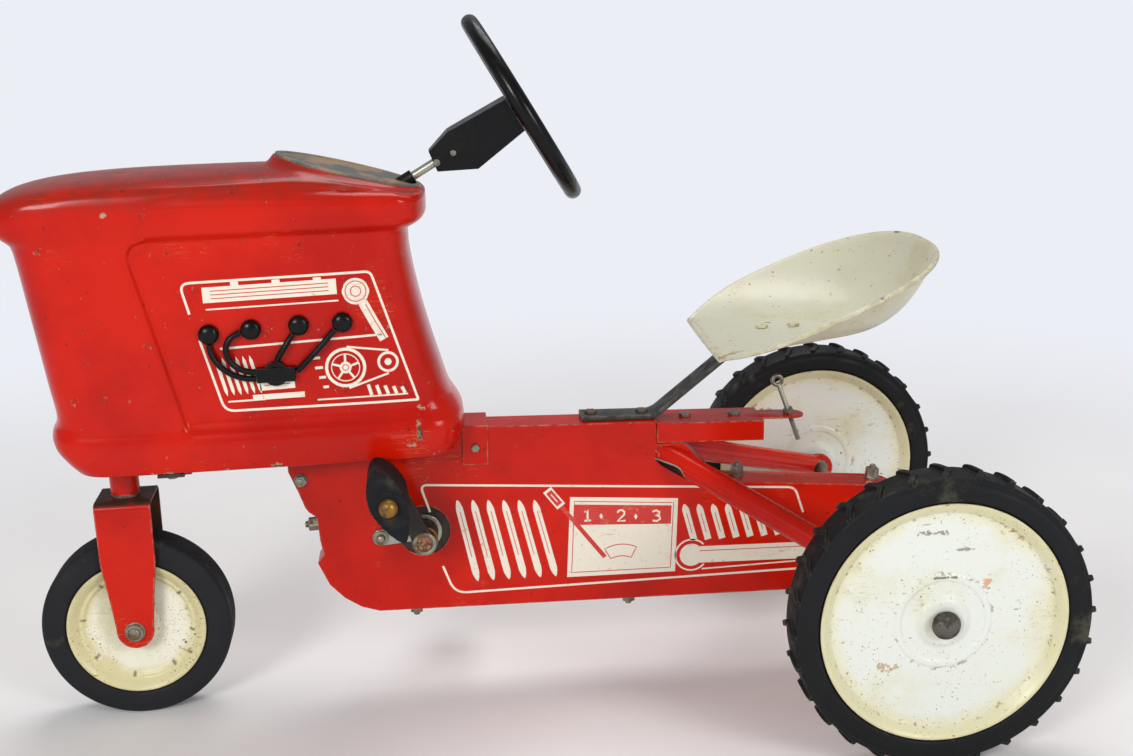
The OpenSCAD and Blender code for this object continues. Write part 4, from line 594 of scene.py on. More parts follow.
def case_fold(edge):
    """Full weight on the outline's edges at the case's side, less inside, a little round the crank's hole."""
    a, b = (v.co / MM for v in edge.verts)
    if len(edge.link_faces) != 2 or edge.calc_face_angle(0.0) < math.radians(25):
        return 0.0
    outside, inside = (all(abs(abs(v.y) - CASE_SIDE + depth) < 0.02 for v in (a, b)) for depth in (0, SHEET))
    if not (outside or inside):
        return 0.0
    middle = (a + b) / 2
    if math.hypot(middle.x - CRANK_X, middle.z - CRANK_Z) < CRANK_HOLE + 1.5:
        return 0.25 if outside else 0.0
    if any(math.hypot(middle.x - x, middle.z - z) < CLEAR_OF_BOLT for x, z in CASE_BOLTS):
        return 0.0
    return 1.0 if outside else 0.66


for side in ("case_left", "case_right"):
    dress(side, RED, FOLD, case_fold)

for node, material, bevel in (
    ("backbone", RED, 0.8), ("saddle", RED, 0.7), ("axle_struts", STRUT_RED, 0.5), ("rear_strap", RED, 0.5),
    ("fork", FORK_RED, 0.7), ("saddle_bolts", ZINC, 0.4), ("strut_bolts", ZINC, 0.4),
    ("clip_strap", DARK_STEEL, 0.5), ("bonnet_bolts", ZINC, 0.35), ("dash_plate", DASH, 0.25),
    ("plug_caps", BLACK, 0.5), ("distributor", BLACK, 0.8), ("rod_bracket", DARK_STEEL, 0.4),
    ("rod_bushes", LEAD_RUBBER, 0.3), ("head_bushes", ZINC, 0.3), ("crank_brackets", DARK_STEEL, 0.4),
    ("crank_bushes", BRASS, 0.4), ("adjuster_straps", PALE_STEEL, 0.4), ("axle_bushes", ZINC, 0.3),
    ("seat_bolts", SEAT_BOLT, 0.4), ("hub_box", BLACK, 0.9), ("hub_rivets", ZINC, 0.4),
    ("steering_rod", PALE_STEEL, 0.3), ("steering_lever", DARK_STEEL, 0.5), ("stem_nut", ZINC, 0.4),
    ("front_hub", ZINC, 0.3), ("crank", CRANK_STEEL, 0.8), ("pedal_caps", BRASS, 0.3),
    ("hub_caps", CAP_STEEL, 0.3), ("hitch_pin", ZINC, 0.2), ("left_hub", ZINC, 0.3), ("right_hub", ZINC, 0.3),
):
    dress(node, material, bevel)

for node, material in (
    ("chain_outer_links", ZINC), ("chain_inner_links", DARK_STEEL), ("chainwheel", DARK_STEEL),
    ("rear_sprocket", DARK_STEEL), ("rear_axle", ZINC), ("drive_pin", ZINC),
):
    for slot in frame["nodes"][node].material_slots:
        slot.material = material


# Bonnet
SKIRT, BEAD, EDGE, DASH_Z = 253.0, 466.0, 485.0, 510.5
BAND, PANEL, BEAD_HALF, BONNET_SHEET = 64.0, 58.5, 68.0, 1.5
MID, TAIL, DASH_X = FRONT_X + 128.5, FRONT_X + 279, FRONT_X + 228.5
SKIRT_TOP = SKIRT + 43
PANEL_LOW = SKIRT_TOP + 9
PANEL_CORNER = 20.0
NOSE_LEAN, RECESS_LEAN, FOOT_FALL = 0.136, 0.238, 0.206
DASH_FALL = math.tan(math.radians(15.3))
CORNER, NOSE_POWER, TAIL_POWER, CROWN_POWER = 2.6, 14, 16, 3.5
ENDS = np.array([0, 0.2, 0.4, 0.6, 0.76, 0.88, 0.95])


def panel_nose(z):
    return FRONT_X - 48.5 - (z - PANEL_LOW) * NOSE_LEAN


def panel_tail(z):
    return TAIL + 34 * (1 - np.clip((z - SKIRT_TOP) / 150, 0, 1)) ** 1.4


def half_ring(z, w, reach, behind, share):
    """Half a level of the bonnet: y = w (1 - u^p)^(1/2.6), less a recess that starts on a slanting line.

    The line turns back through a quarter circle at its top: R (1 - sqrt(1 - climb^2)).
    """
    nose, tail = panel_nose(z) - reach, panel_tail(z) + behind
    climb = np.clip((z - BEAD + 1 + PANEL_CORNER) / PANEL_CORNER, 0, 1)
    start = FRONT_X + 70 - (z - PANEL_LOW) * RECESS_LEAN + PANEL_CORNER * (1 - math.sqrt(1 - climb ** 2))
    recess = (BAND - PANEL) * share

    def side(x):
        front = x < MID
        u = np.where(front, (MID - x) / (MID - nose), (x - MID) / (tail - MID))
        p = np.where(front, NOSE_POWER, TAIL_POWER)
        s = np.clip((x - start + 4) / 8, 0, 1)
        return w * (1 - np.clip(u, 0, 1) ** p) ** (1 / CORNER) - recess * s * s * (3 - 2 * s)

    far = MID + (tail - MID) * 0.84
    x = np.concatenate([MID - (MID - nose) * np.array([0.82, 0.7]), start + np.array([-5.5, -1.8, 1.8, 5.5]),
                        start + 8 + (far - start - 8) * np.array([0.28, 0.52, 0.76, 1])])
    back = ENDS[::-1]
    return np.concatenate([
        np.stack([MID - (MID - nose) * (1 - ENDS ** CORNER) ** (1 / NOSE_POWER), w * ENDS], 1),
        np.stack([x, side(x)], 1),
        np.stack([MID + (tail - MID) * (1 - back ** CORNER) ** (1 / TAIL_POWER), back * (w - recess)], 1),
    ])


def bonnet_rings():
    """Level rings from the skirt up to the bead, then rings that close over the crown to the dash's oval.

    Each level gives its height, half width, reach at nose and tail beyond the panel, and share of the recess.
    """
    bead = BEAD - SKIRT
    levels = [
        (0, PANEL + 1.5, -12, -5, 0), (0.8, BAND - 1.5, -8, -1, 0), (5, BAND + 0.5, -4, 2, 0),
        (13, BAND + 2, 2, 6, 0), (25, BAND + 2.5, 8, 8, 0), (34, BAND + 1.5, 8.5, 7, 0.1),
        (40, BAND + 0.3, 6.5, 4.5, 0.55), (46, BAND, 2.5, 2, 0.9), (53, BAND, 0, 0, 1), (80, BAND, 0, 0, 1),
        (115, BAND, 0, 0, 1), (155, BAND, 0, 0, 1), (186, BAND, 0, 0, 1), (bead - 21, BAND, 0.1, 0, 1),
        (bead - 15, BAND, 0.3, 0, 1), (bead - 9, BAND, 0.5, 0, 1), (bead - 4, BAND, 1.5, 3, 0.9),
        (bead, BAND + 0.8, 4.5, 10, 0.45), (bead + 4, BEAD_HALF - 1.8, 9, 15, 0),
        (bead + 10, BEAD_HALF - 0.3, 12.5, 17.5, 0),
        (EDGE - SKIRT, BEAD_HALF, 86.5 - (FRONT_X - panel_nose(EDGE)), 17.7, 0),
    ]
    halves = [half_ring(SKIRT + level[0], *level[1:]) for level in levels]
    rings = [np.column_stack([p, np.full(len(p), SKIRT + level[0])]) for p, level in zip(halves, levels)]
    turn = np.radians(180 - 180 * np.arange(len(halves[0])) / (len(halves[0]) - 1))

    def oval(a, b, cx):
        return np.stack([cx + a * np.cos(turn), b * np.sin(turn)], 1)

    def plane(x):
        return DASH_Z - (x - DASH_X) * DASH_FALL

    foot, rim, lip = oval(72, 57, DASH_X - 4.5), oval(66, 45, DASH_X), oval(58, 37, DASH_X)
    low = DASH_Z - 5.5 - (foot[:, 0] - DASH_X) * FOOT_FALL
    for t in (0.015, 0.05, 0.11, 0.2, 0.32, 0.5, 0.72, 1):
        rise = (1 - (1 - t) ** CROWN_POWER) ** (1 / CROWN_POWER)
        rings.append(np.column_stack([halves[-1] * (1 - t) + foot * t, EDGE + (low - EDGE) * rise]))
    for t, lift in ((0.55, 0.35), (0.9, 0.85), (1, 1)):
        rings.append(np.column_stack([foot * (1 - t) + rim * t, low + (plane(rim[:, 0]) - low) * lift]))
    rings.append(np.column_stack([lip, plane(lip[:, 0])]))
    return np.array([np.concatenate([r, r[-2:0:-1] * [1, -1, 1]]) for r in rings])


bonnet_grid = finer(bonnet_rings(), 4, 4)


def make_bonnet():
    """The rings as one outer skin, without the mouth over the case at the tail, given its sheet inwards."""
    rows, cols = bonnet_grid.shape[:2]
    points, faces = bonnet_grid.reshape(-1, 3), grid_faces(rows, cols)
    middle = points[faces].mean(1)
    mouth = (middle[:, 0] > TAIL - 4) & (np.abs(middle[:, 1]) < CASE_SIDE + 4) & (middle[:, 2] < SKIRT + 22)
    across = np.cross(points[faces[:, 1]] - points[faces[:, 0]], points[faces[:, 3]] - points[faces[:, 0]])
    out = (across * (middle - [MID, 0, (SKIRT + EDGE) / 2])).sum()
    faces = faces[~mouth] if out > 0 else faces[~mouth][:, ::-1]
    used = np.unique(faces)
    index = np.zeros(len(points), int)
    index[used] = np.arange(len(used))
    piece = make_piece("bonnet_skin", (points[used], index[faces]), BONNET_RED, "bonnet", 60)
    wall = piece.modifiers.new("sheet", "SOLIDIFY")
    wall.thickness = BONNET_SHEET * MM
    wall.offset = -1


make_bonnet()


# Prints
def panel_table():
    """The bonnet's left side as a table: y for each level and x, read off the fine rings."""
    rows, cols = bonnet_grid.shape[:2]
    half = bonnet_grid[:, :cols // 2 + 1]
    keep = [i for i in range(rows) if SKIRT + 20 < half[i, 0, 2] < BEAD - 2 and np.ptp(half[i, :, 2]) < 1e-6]
    xs = np.arange(-430.0, -60.0, 1.0)
    side = [half[i][np.argsort(half[i, :, 0], kind="stable")] for i in keep]
    return xs, half[keep, 0, 2], np.array([np.interp(xs, h[:, 0], h[:, 1]) for h in side])


PANEL_X, PANEL_Z, PANEL_Y = panel_table()


def on_bonnet(x, z, sign):
    """The side panel's y at x and z, by straight lines between the table's four neighbours."""
    i = np.clip(np.searchsorted(PANEL_Z, z) - 1, 0, len(PANEL_Z) - 2)
    f = np.clip((z - PANEL_Z[i]) / (PANEL_Z[i + 1] - PANEL_Z[i]), 0, 1)
    u = np.clip(x - PANEL_X[0], 0, len(PANEL_X) - 1.001)
    j = u.astype(int)
    g = u - j
    low, high = (PANEL_Y[k, j] * (1 - g) + PANEL_Y[k, j + 1] * g for k in (i, i + 1))
    return sign * (low * (1 - f) + high * f)


def on_case(x, z, sign):
    return np.full(np.shape(x), sign * CASE_SIDE)


def arc(cx, cz, r, start, end, n):
    """A run of n points on a circle, from the start to the end angle in degrees."""
    a = np.radians(np.linspace(start, end, n))
    return np.stack([cx + r * np.cos(a), cz + r * np.sin(a)], 1)


def blade(t):
    """Width of a louvre stripe along its length: full in the middle, bullet-nosed at both ends."""
    return 6.8 * np.minimum(1, np.minimum(t, 1 - t) * 9 + 0.01) ** 0.55


def path_points(points, step):
    """A line through the points with a point at least every step mm."""
    p = np.asarray(points, float)
    out = [p[:1]]
    for a, b in zip(p[:-1], p[1:]):
        n = max(1, int(math.ceil(np.linalg.norm(b - a) / step)))
        out.append(a + (b - a) * (np.arange(1, n + 1) / n)[:, None])
    return np.concatenate(out)


SUNK = 0.3
LEFT_BORDER = [(-629.6, 398), (-636, 426), (-469.5, 428), (-434, 308), (-606.5, 308), (-623, 374)]
RIGHT_BORDER = [(-301.5, 308), (-301.5, 426), (-135, 428), (-99.5, 308), (-272, 308), (-288.5, 374)]
BORDER_CUTS = [1, 9, 5, 1, 9, 1]


class Print:
    """Cream and red ink on a surface of one side. Places on it are x from the rear axle, and z."""

    def __init__(self, surface, sign=-1):
        self.surface, self.sign = surface, sign
        self.cream, self.red = [], []

    def lifted(self, x, z, lift):
        """Points on the surface, lifted off it, and the same points sunk in it."""
        y = self.surface(x + REAR_X, z, self.sign)
        return (np.stack([x + REAR_X, y + self.sign * d, z], -1) for d in (lift, -SUNK))

    def line(self, points, width, ink=None, closed=False, lift=0.12, across=1, step=5.0):
        """A flat strip along a line: edges at +-width/2 across it, lifted off the surface, walled in."""
        points = np.asarray(points, float)
        if closed:
            p = path_points(np.concatenate([points, points[:1]]), step)[:-1]
            e = np.roll(p, -1, 0) - np.roll(p, 1, 0)
        else:
            p = path_points(points, step)
            e = np.gradient(p, axis=0)
        e /= np.linalg.norm(e, axis=1)[:, None]
        n = np.stack([-e[:, 1], e[:, 0]], 1)
        w = width(np.linspace(0, 1, len(p))) if callable(width) else np.full(len(p), float(width))
        flat = p[:, None] + n[:, None] * (np.linspace(-0.5, 0.5, across + 1)[None, :] * w[:, None])[..., None]
        top, base = self.lifted(flat[..., 0], flat[..., 1], lift)
        ring = np.concatenate([top, base[:, ::-1]], 1)
        shell = outward(ring, grid_faces(*ring.shape[:2], closed_rows=True)) if closed else capped_tube(ring)
        (self.cream if ink is None else ink).append(shell)

    def red_line(self, points, width, lift=0.2, **more):
        self.line(points, width, self.red, lift=lift, **more)

    def slab(self, outline, ink, lift=0.12):
        """A flat printed patch inside an outline, lifted off a plane surface, with its side walls."""
        p = np.asarray(outline, float)
        top, base = self.lifted(p[:, 0], p[:, 1], lift)
        ink.append(capped_tube(np.array([base, top])))

    def disc(self, x, z, r):
        self.line([(x - r, z), (x + r, z)], lambda t: 2 * r * np.sqrt(np.maximum(1 - (2 * t - 1) ** 2, 0.01)),
                  across=4, lift=0.16, step=r / 5)

    def ring(self, x, z, r, width, ink=None, lift=0.12):
        self.line(arc(x, z, r, 0, 345, 24), width, ink, closed=True, lift=lift, step=20)

    def stripes(self, count, tops, lows, width, start, end):
        """Slanted stripes from tops to lows, each with a fine red line between its shares start and end."""
        for t in np.linspace(0, 1, count):
            top, low = (np.array(a) * (1 - t) + np.array(b) * t for a, b in (tops, lows))
            self.line([top, low], width, step=2)
            self.red_line([top * (1 - s) + low * s for s in (start, end)], 0.7)

    def finished(self, name, side=""):
        """One piece of the cream ink, and one of the red where there is any."""
        make_piece(name + side, joined(*self.cream), INK, slot="cream_paint")
        if self.red:
            make_piece(name + "_red" + side, joined(*self.red), RED_INK, slot="red_paint")


# Figures 1, 2 and 3 as strokes in a box 1 wide and 1 high
FIGURES = {
    1: [[(0.25, 0.78), (0.55, 1), (0.55, 0)], [(0.2, 0), (0.9, 0)]],
    2: [[(0.08, 0.78), (0.25, 0.97), (0.6, 1), (0.86, 0.8), (0.8, 0.55), (0.08, 0), (0.95, 0)]],
    3: [[(0.08, 0.9), (0.5, 1), (0.85, 0.82), (0.8, 0.6), (0.42, 0.53), (0.82, 0.45), (0.92, 0.2), (0.55, 0),
         (0.08, 0.08)]],
}
FIGURE_FALL = 0.078


def case_print(side, sign):
    """The case's panel: a broken border, slanted stripes, a gate plate with figures, and a pipe at its tail.

    The right side (sign 1) is its mirror image, apart from the figures, which read from left to right on
    both.
    """
    art = Print(on_case, sign)
    line, red_line = art.line, art.red_line
    line(softened([(-429.9, 186.5), (-437.8, 214), (-77.6, 187.5), (-69.6, 161.3)], 7, 6, closed=False), 2.1)
    line(softened([(-420.7, 130.9), (-410.7, 102.4), (-72.3, 103.2), (-66, 108)], 12, 8, closed=False), 2.1)
    art.stripes(6, ((-403.8, 196.7), (-330.7, 191.7)), ((-388, 113.1), (-312.6, 112.6)), blade, 0.14, 0.7)
    art.stripes(7, ((-186.4, 177.6), (-103, 172.6)), ((-177.1, 140), (-94, 140)),
                lambda u: 6.6 * np.minimum(1, u * 7 + 0.01) ** 0.55, 0.25, 0.8)
    plate = np.array([(-296.2, 192.3), (-192.1, 184.1), (-196.3, 109.2), (-301.9, 110.8)])
    art.slab(plate, art.cream)
    red_line(plate + [(4, -4.6), (-4.4, -4.2), (-4.6, 4.4), (4.6, 4.4)], 0.8, closed=True)
    art.slab([(-292.5, 184.5), (-198.5, 177.2), (-199.5, 158.5), (-293.8, 163.8)], art.red, 0.18)
    for figure, x in zip((1, 2, 3)[::-sign], (-285, -252, -218)):
        low = 167.4 - (x + 285) * FIGURE_FALL
        for stroke in FIGURES[figure]:
            line([(x + 4.5 + 9 * sign * (0.5 - u), low + 11 * v) for u, v in stroke], 1.9, lift=0.28, step=20)
    for x in (-267, -233.5):
        mid = 172.3 - (x + 285) * FIGURE_FALL
        line([(x, mid + 3), (x, mid - 3)], lambda u: 3.4 * (1 - np.abs(2 * u - 1)) + 0.05, lift=0.28,
             step=1.5)
    swing = [arc(-249, 108, 33, 62, 118, 10), arc(-249, 108, 21, 118, 62, 10)]
    red_line(np.concatenate(swing), 0.9, closed=True)
    red_line([(-312.5, 193.4), (-264.4, 128.8)], 4.2, 0.24)
    line([(-318, 201), (-305, 183.5)], 9.5, lift=0.3)
    red_line([(-316.5, 199), (-306.5, 185.5)], 6.4, 0.36)
    line([(-314.5, 196.3), (-308.5, 188.3)], 1.0, lift=0.42)
    line([(-180, 125), (-67, 122)], 17, across=2, lift=0.16)
    art.slab(arc(-180, 125, 11.5, 0, 345, 24), art.cream)
    line(arc(-180, 125, 15.8, 40, 320, 26), 1.6)
    line([(-170, 109.8), (-67, 111.4)], 1.4)
    red_line([(-172, 128.6), (-67, 126)], 0.8, 0.24)
    art.finished("case_print", "_" + side)


def engine_print():
    """The bonnet's left panel: a border round a rocker cover, an air drum, cooling fins and two pulleys."""
    art = Print(on_bonnet)
    line, red_line, disc, ring = art.line, art.red_line, art.disc, art.ring
    line(softened(LEFT_BORDER, BORDER_CUTS, 6, closed=False), 2.2)
    line([(-617, 414.4), (-500, 416.4)], 14, across=2)
    for low in (-3.4, 0, 3.4):
        red_line([(-610, 414.5 + low), (-507, 416.3 + low)], 0.8, 0.22)
    for x in (-592, -556, -520):
        line([(x, 423.6), (x + 7, 423.7)], 3.4, lift=0.17)
    line([(-615, 401.5), (-499, 403.5)], 1.4)
    disc(-483.5, 411, 12)
    for r in (9.2, 4.6):
        ring(-483.5, 411, r, 0.9, art.red, 0.24)
    line(softened([(-478, 401), (-470, 384), (-461, 366)], 9, 6, closed=False), 8.6, across=2)
    red_line([(-475.5, 399), (-467.6, 382), (-459.6, 367)], 0.8, 0.22)
    line([(-606, 365.5), (-462, 370.5)], 2)
    for k in range(6):
        line([(-611 + 6 * k, 357 + 0.2 * k), (-603 + 6 * k, 322 + 0.2 * k)], lambda t: 3 * blade(t) / 6.8)
    line([(-603, 316.5), (-570, 317)], 1.6)
    line([(-574, 329.5), (-543, 330.5)], 9, across=2)
    line([(-581, 319), (-535, 319.6)], 5, across=2, lift=0.16)
    red_line([(-570, 329.6), (-547, 330.4)], 0.8, 0.24)
    pulley = np.array([-497, 342])
    for r, width in ((17, 2.8), (12.5, 0.9)):
        ring(*pulley, r, width)
    disc(*pulley, 5.4)
    ring(*pulley, 2.6, 0.8, art.red, 0.24)
    for turn in np.radians(np.arange(5) * 72 + 18):
        ray = np.array([math.cos(turn), math.sin(turn)])
        line([pulley + ray * 5, pulley + ray * 12.2], 2)
    ring(-459, 345, 8.4, 2.4)
    disc(-459, 345, 3.2)
    line([(-495, 361), (-458, 355.6)], 1.8)
    line([(-495, 322.8), (-459, 334.4)], 1.8)
    for k in range(4):
        line([(-527 + 3 * k, 352 - 9 * k), (-519 + 2 * k, 352.3 - 9 * k)], 2.4)
    for k in range(5):
        line([(-478 + 7.5 * k, 325 - k), (-475.5 + 7.5 * k, 315)], 3)
    line([(-524, 313.6), (-443, 314.2)], 1.4)
    art.finished("engine_print")


def right_border():
    """The bonnet's right panel has the border line alone, without its front end."""
    art = Print(on_bonnet, 1)
    art.line(softened(RIGHT_BORDER, BORDER_CUTS, 6, closed=False)[5:] - [REAR_X, 0], 2.2)
    art.finished("right_border")


case_print("left", -1)
case_print("right", 1)
engine_print()
right_border()


# Small fasteners
def spun(profile, at, axis, sides=24):
    """A solid of rings (r, s): radius r at s mm along the axis from the point, with flat or pointed ends."""
    d = np.asarray(axis, float) / np.linalg.norm(axis)
    u = np.cross(d, [0.0, 0, 1] if abs(d[2]) < 0.9 else [1.0, 0, 0])
    u /= np.linalg.norm(u)
    a = angles(sides)[:, None]
    round_ = u * np.cos(a) + np.cross(d, u) * np.sin(a)
    return capped_tube(np.array([np.asarray(at, float) + d * s + round_ * r for r, s in profile]))


def nut(at, axis, across, high, stub, washer):
    """A chamfered hexagon on a washer, with the bolt's rounded end standing out of it."""
    r, t, thick = across / math.sqrt(3), across * 0.27, 1.2
    top = thick + high
    return [
        spun([(0.9 * r, thick - 0.6), (r, thick - 0.5), (r, top - 0.7), (0.86 * r, top)], at, axis, 6),
        spun([(washer, -0.3), (washer, thick - 0.3), (washer - 0.3, thick)], at, axis),
        spun([(t, top - 0.5), (t, top + stub - 0.8), (0.75 * t, top + stub - 0.2), (0.3 * t, top + stub)],
             at, axis, 16),
    ]


def make_case_screws():
    """Screws along the case's flange, nuts outward, and the bolt across its front."""
    slope, fall = math.radians(-1.12), math.radians(5.11)
    down, up = (math.sin(slope), 0, -math.cos(slope)), (math.sin(fall), 0, math.cos(fall))
    shells = []
    for x, z, axis in ((CRANK_X - 99, CRANK_Z + 7, (-1, 0, -0.04)), (CRANK_X - 12, 88.5, down),
                       (REAR_X - 240, 84.4, down), (REAR_X - 131, 196.7, up), (REAR_X + 4, 184.6, up)):
        shells += nut((x, 0, z), axis, 11.5, 9.5, 3.4, 7.2)
    for side in (-1, 1):
        shells += nut((CROSS_X, side * CASE_SIDE, CROSS_Z), (0, side, 0), 10.5, 3.6, 1.6, 6.4)
    make_piece("case_screw_set", joined(*shells), ZINC, "case_screws")


def make_front_axle():
    """The front wheel's axle: a shank between two round nuts, each a worn ring round the bolt's end."""
    face, at = 27.65, np.array([FRONT_X, 0, FRONT_R])
    line = [(9.4, 0), (9.4, 1.3), (8.5, 1.5), (8.5, 5.2), (7.8, 5.9), (6.2, 6.0), (5.6, 4.8), (4.7, 4.8),
            (4.6, 6.4), (3.8, 7.0), (0.6, 7.1)]
    shells = [spun([(4.7, -face - 1), (4.7, face + 1)], at, (0, 1, 0))]
    shells += [spun(line, at + [0, side * face, 0], (0, side, 0), 40) for side in (-1, 1)]
    make_piece("front_axle_nuts", joined(*shells), OLD_STEEL, "front_axle_bolt", 30)


def make_adjusters():
    """The chain adjuster's bolts: a small dome on a low round head, either side of the case."""
    line = [(3.0, -6), (3.0, 2.9), (7.4, 2.9), (7.4, 3.7), (7.0, 4.1), (4.4, 4.3), (4.3, 5.4), (3.7, 6.8),
            (2.4, 7.8), (0.5, 8.2)]
    shells = [spun(line, (ADJUSTER_X, side * CASE_SIDE, ADJUSTER_Z), (0, side, 0), 32) for side in (-1, 1)]
    make_piece("adjuster_domes", joined(*shells), OLD_STEEL, "adjuster_bolts", 30)


def make_crank_eyes():
    """The rolled eye on the outer face of each crank arm: a half-round ring round a rusty hollow."""
    ring = [(7.2, 0.2), (7.4, 1.4), (8.3, 2.1), (10.2, 2.1), (11.2, 1.4), (11.4, 0.2), (11.2, -1), (7.4, -1)]
    eye = turned(ring, (CRANK_X, 56.35, CRANK_Z), 48)
    make_piece("crank_eyes", both_sides(eye), OLD_STEEL, None, 60, "crankset", "grey_steel")


def make_strut_slot_shadows():
    """A painted shadow of the gap under each strut's front end, with its bright edge, as patches on the tube.

    A point lies at start + s d + r (v cos a + g sin a): s along the tube from the case's side, a round it
    from its outer side downwards.
    """
    start, end = np.array([REAR_X - 197.5, -21.15, 225.5]), np.array([REAR_X, -197.0, REAR_R])
    d = (end - start) / np.linalg.norm(end - start)
    g = np.array([0, 0, -1.0]) + d[2] * d
    g /= np.linalg.norm(g)
    v, r, reach = np.cross(g, d), 11.5, 26
    t = np.linspace(0, 1, 16)[:, None]
    brow = 22 - 36 * t + 78 * t ** 9

    def patch(low, high, lift):
        a = np.radians(low + (high - low) * np.linspace(0, 1, 7)[None, :])[..., None]
        out = v * np.cos(a) + g * np.sin(a)
        first = (0.1 + r * out[..., 1:2]) / -d[1]
        line = start + (first + (reach - first) * t[..., None]) * d
        return capped_tube(np.concatenate([line + (r + lift) * out, (line + (r - 0.4) * out)[:, ::-1]], 1))

    # Painted shadow: a near-black patch on the tube where the gap under the strut's end lies in shade.
    make_piece("strut_slot_shadows", both_sides(patch(brow, 80 + 0 * t, 0.12)), SLOT_SHADOW, slot="dark_steel")
    make_piece("strut_slot_edges", both_sides(patch(brow - 7, brow, 0.2)), PALE_STEEL, slot="grey_steel")


make_case_screws()
make_front_axle()
make_adjusters()
make_crank_eyes()
make_strut_slot_shadows()


# Seat
def make_seat():
    """The pan: rings from the floor's middle out to the rolled rim and back under, risen by share^3.8."""
    wide, front, back, half, floor = REAR_X - 73, REAR_X - 160, REAR_X + 50, 127.0, 343.0
    low_front, high_back, middle = floor - 6.4, 420, np.array([REAR_X - 62, 0])
    front_half = half * 0.63
    a, t = np.radians(np.arange(12) * 7.5), np.arange(8) / 7
    side = np.concatenate([
        np.stack([wide + (back - wide) * np.cos(a) ** 0.84, half * np.sin(a) ** 0.78], 1),
        np.stack([wide + (front + 3 - wide) * t, half - (half - front_half - 2) * t ** 2.6], 1),
        np.stack([np.full(5, front), front_half * np.array([1, 0.75, 0.5, 0.25, 0])], 1),
    ])
    outline = np.concatenate([side, side[-2:0:-1] * [1, -1]])
    section = [(s, 0, 0) for s in (0.15, 0.3, 0.45, 0.58, 0.7, 0.8, 0.88, 0.95, 1)]
    section += [(1, 2, 0.6), (1, 3.8, -0.6), (1, 4.2, -2.8), (1, 3, -4.4), (1, 1.6, -3)]
    section += [(s, 0.9 * s * s, -1.5) for s in (0.94, 0.86, 0.76, 0.64, 0.5, 0.32, 0.15)]
    away = outline - middle
    unit = away / np.linalg.norm(away, axis=1)[:, None]
    x = outline[:, 0]
    rise = low_front + (high_back - low_front) * (x - front) / (back - front)
    rim = rise + 0.00033 * (x - front) * (back - x)
    rings = np.array([np.column_stack([middle + away * s + unit * d, floor + (rim - floor) * s ** 3.8 + up])
                      for s, d, up in section])
    grid = finer(rings, 3, 4)
    rows, cols = grid.shape[:2]
    points = np.concatenate([grid.reshape(-1, 3), [[*middle, floor], [*middle, floor - 1.5]]])
    faces = [list(f) for f in grid_faces(rows, cols)]
    top, last = rows * cols, (rows - 1) * cols
    faces += [[(j + 1) % cols, j, top] for j in range(cols)]
    faces += [[last + j, last + (j + 1) % cols, top + 1] for j in range(cols)]
    make_piece("seat_shell", outward(points, faces), SEAT_CREAM, "seat_pan", 60)


def make_seat_bar():
    """The flat bar: a rounded strip section, 27 by 4.5, carried along its underside with its bends eased."""
    bar, half = 4.5, 13.5

    def lower(x):
        return 259 + (SADDLE_X - x) * math.tan(math.radians(2)) + 2.85

    top = 340.9 - bar
    line = [(SADDLE_X - 71, lower(SADDLE_X - 71)), (SADDLE_X - 5, lower(SADDLE_X - 5)),
            (SADDLE_X + 3, lower(SADDLE_X) + 3), (REAR_X - 121, top - 4), (REAR_X - 112, top),
            (REAR_X - 52, top)]
    path = softened(line, [0, 4, 4, 9, 9, 0], 6, closed=False)
    e = np.gradient(path, axis=0)
    n = np.stack([-e[:, 1], e[:, 0]], 1) / np.linalg.norm(e, axis=1)[:, None]
    section = softened([(-half, 0), (half, 0), (half, bar), (-half, bar)], 0.7, 4)
    spot = path[:, None] + n[:, None] * section[None, :, 1:]
    y = np.broadcast_to(section[:, 0], spot.shape[:2])
    rings = np.stack([spot[..., 0], y, spot[..., 1]], -1)
    make_piece("seat_bar_bent", capped_tube(rings), BAR_STEEL, "seat_bar", 40)


make_seat()
make_seat_bar()


# Wheels
def tyre_outline(r, rim, half, tread_half):
    side = [(rim - 10.5, 0), (rim - 10.5, half - 10.2), (rim - 4.6, half - 4.2), (rim - 1.2, half - 2.7),
            (rim + 0.9, half - 2.5), (rim + 1.7, half - 0.8), (rim + 4, half), ((r + rim) / 2 + 2, half),
            (r - 5.5, half - 1.2), (r - 2, tread_half + 1.2), (r - 0.4, tread_half - 1.2),
            (r, tread_half - 4)]
    return side + [(a, -b) for a, b in side[:0:-1]]


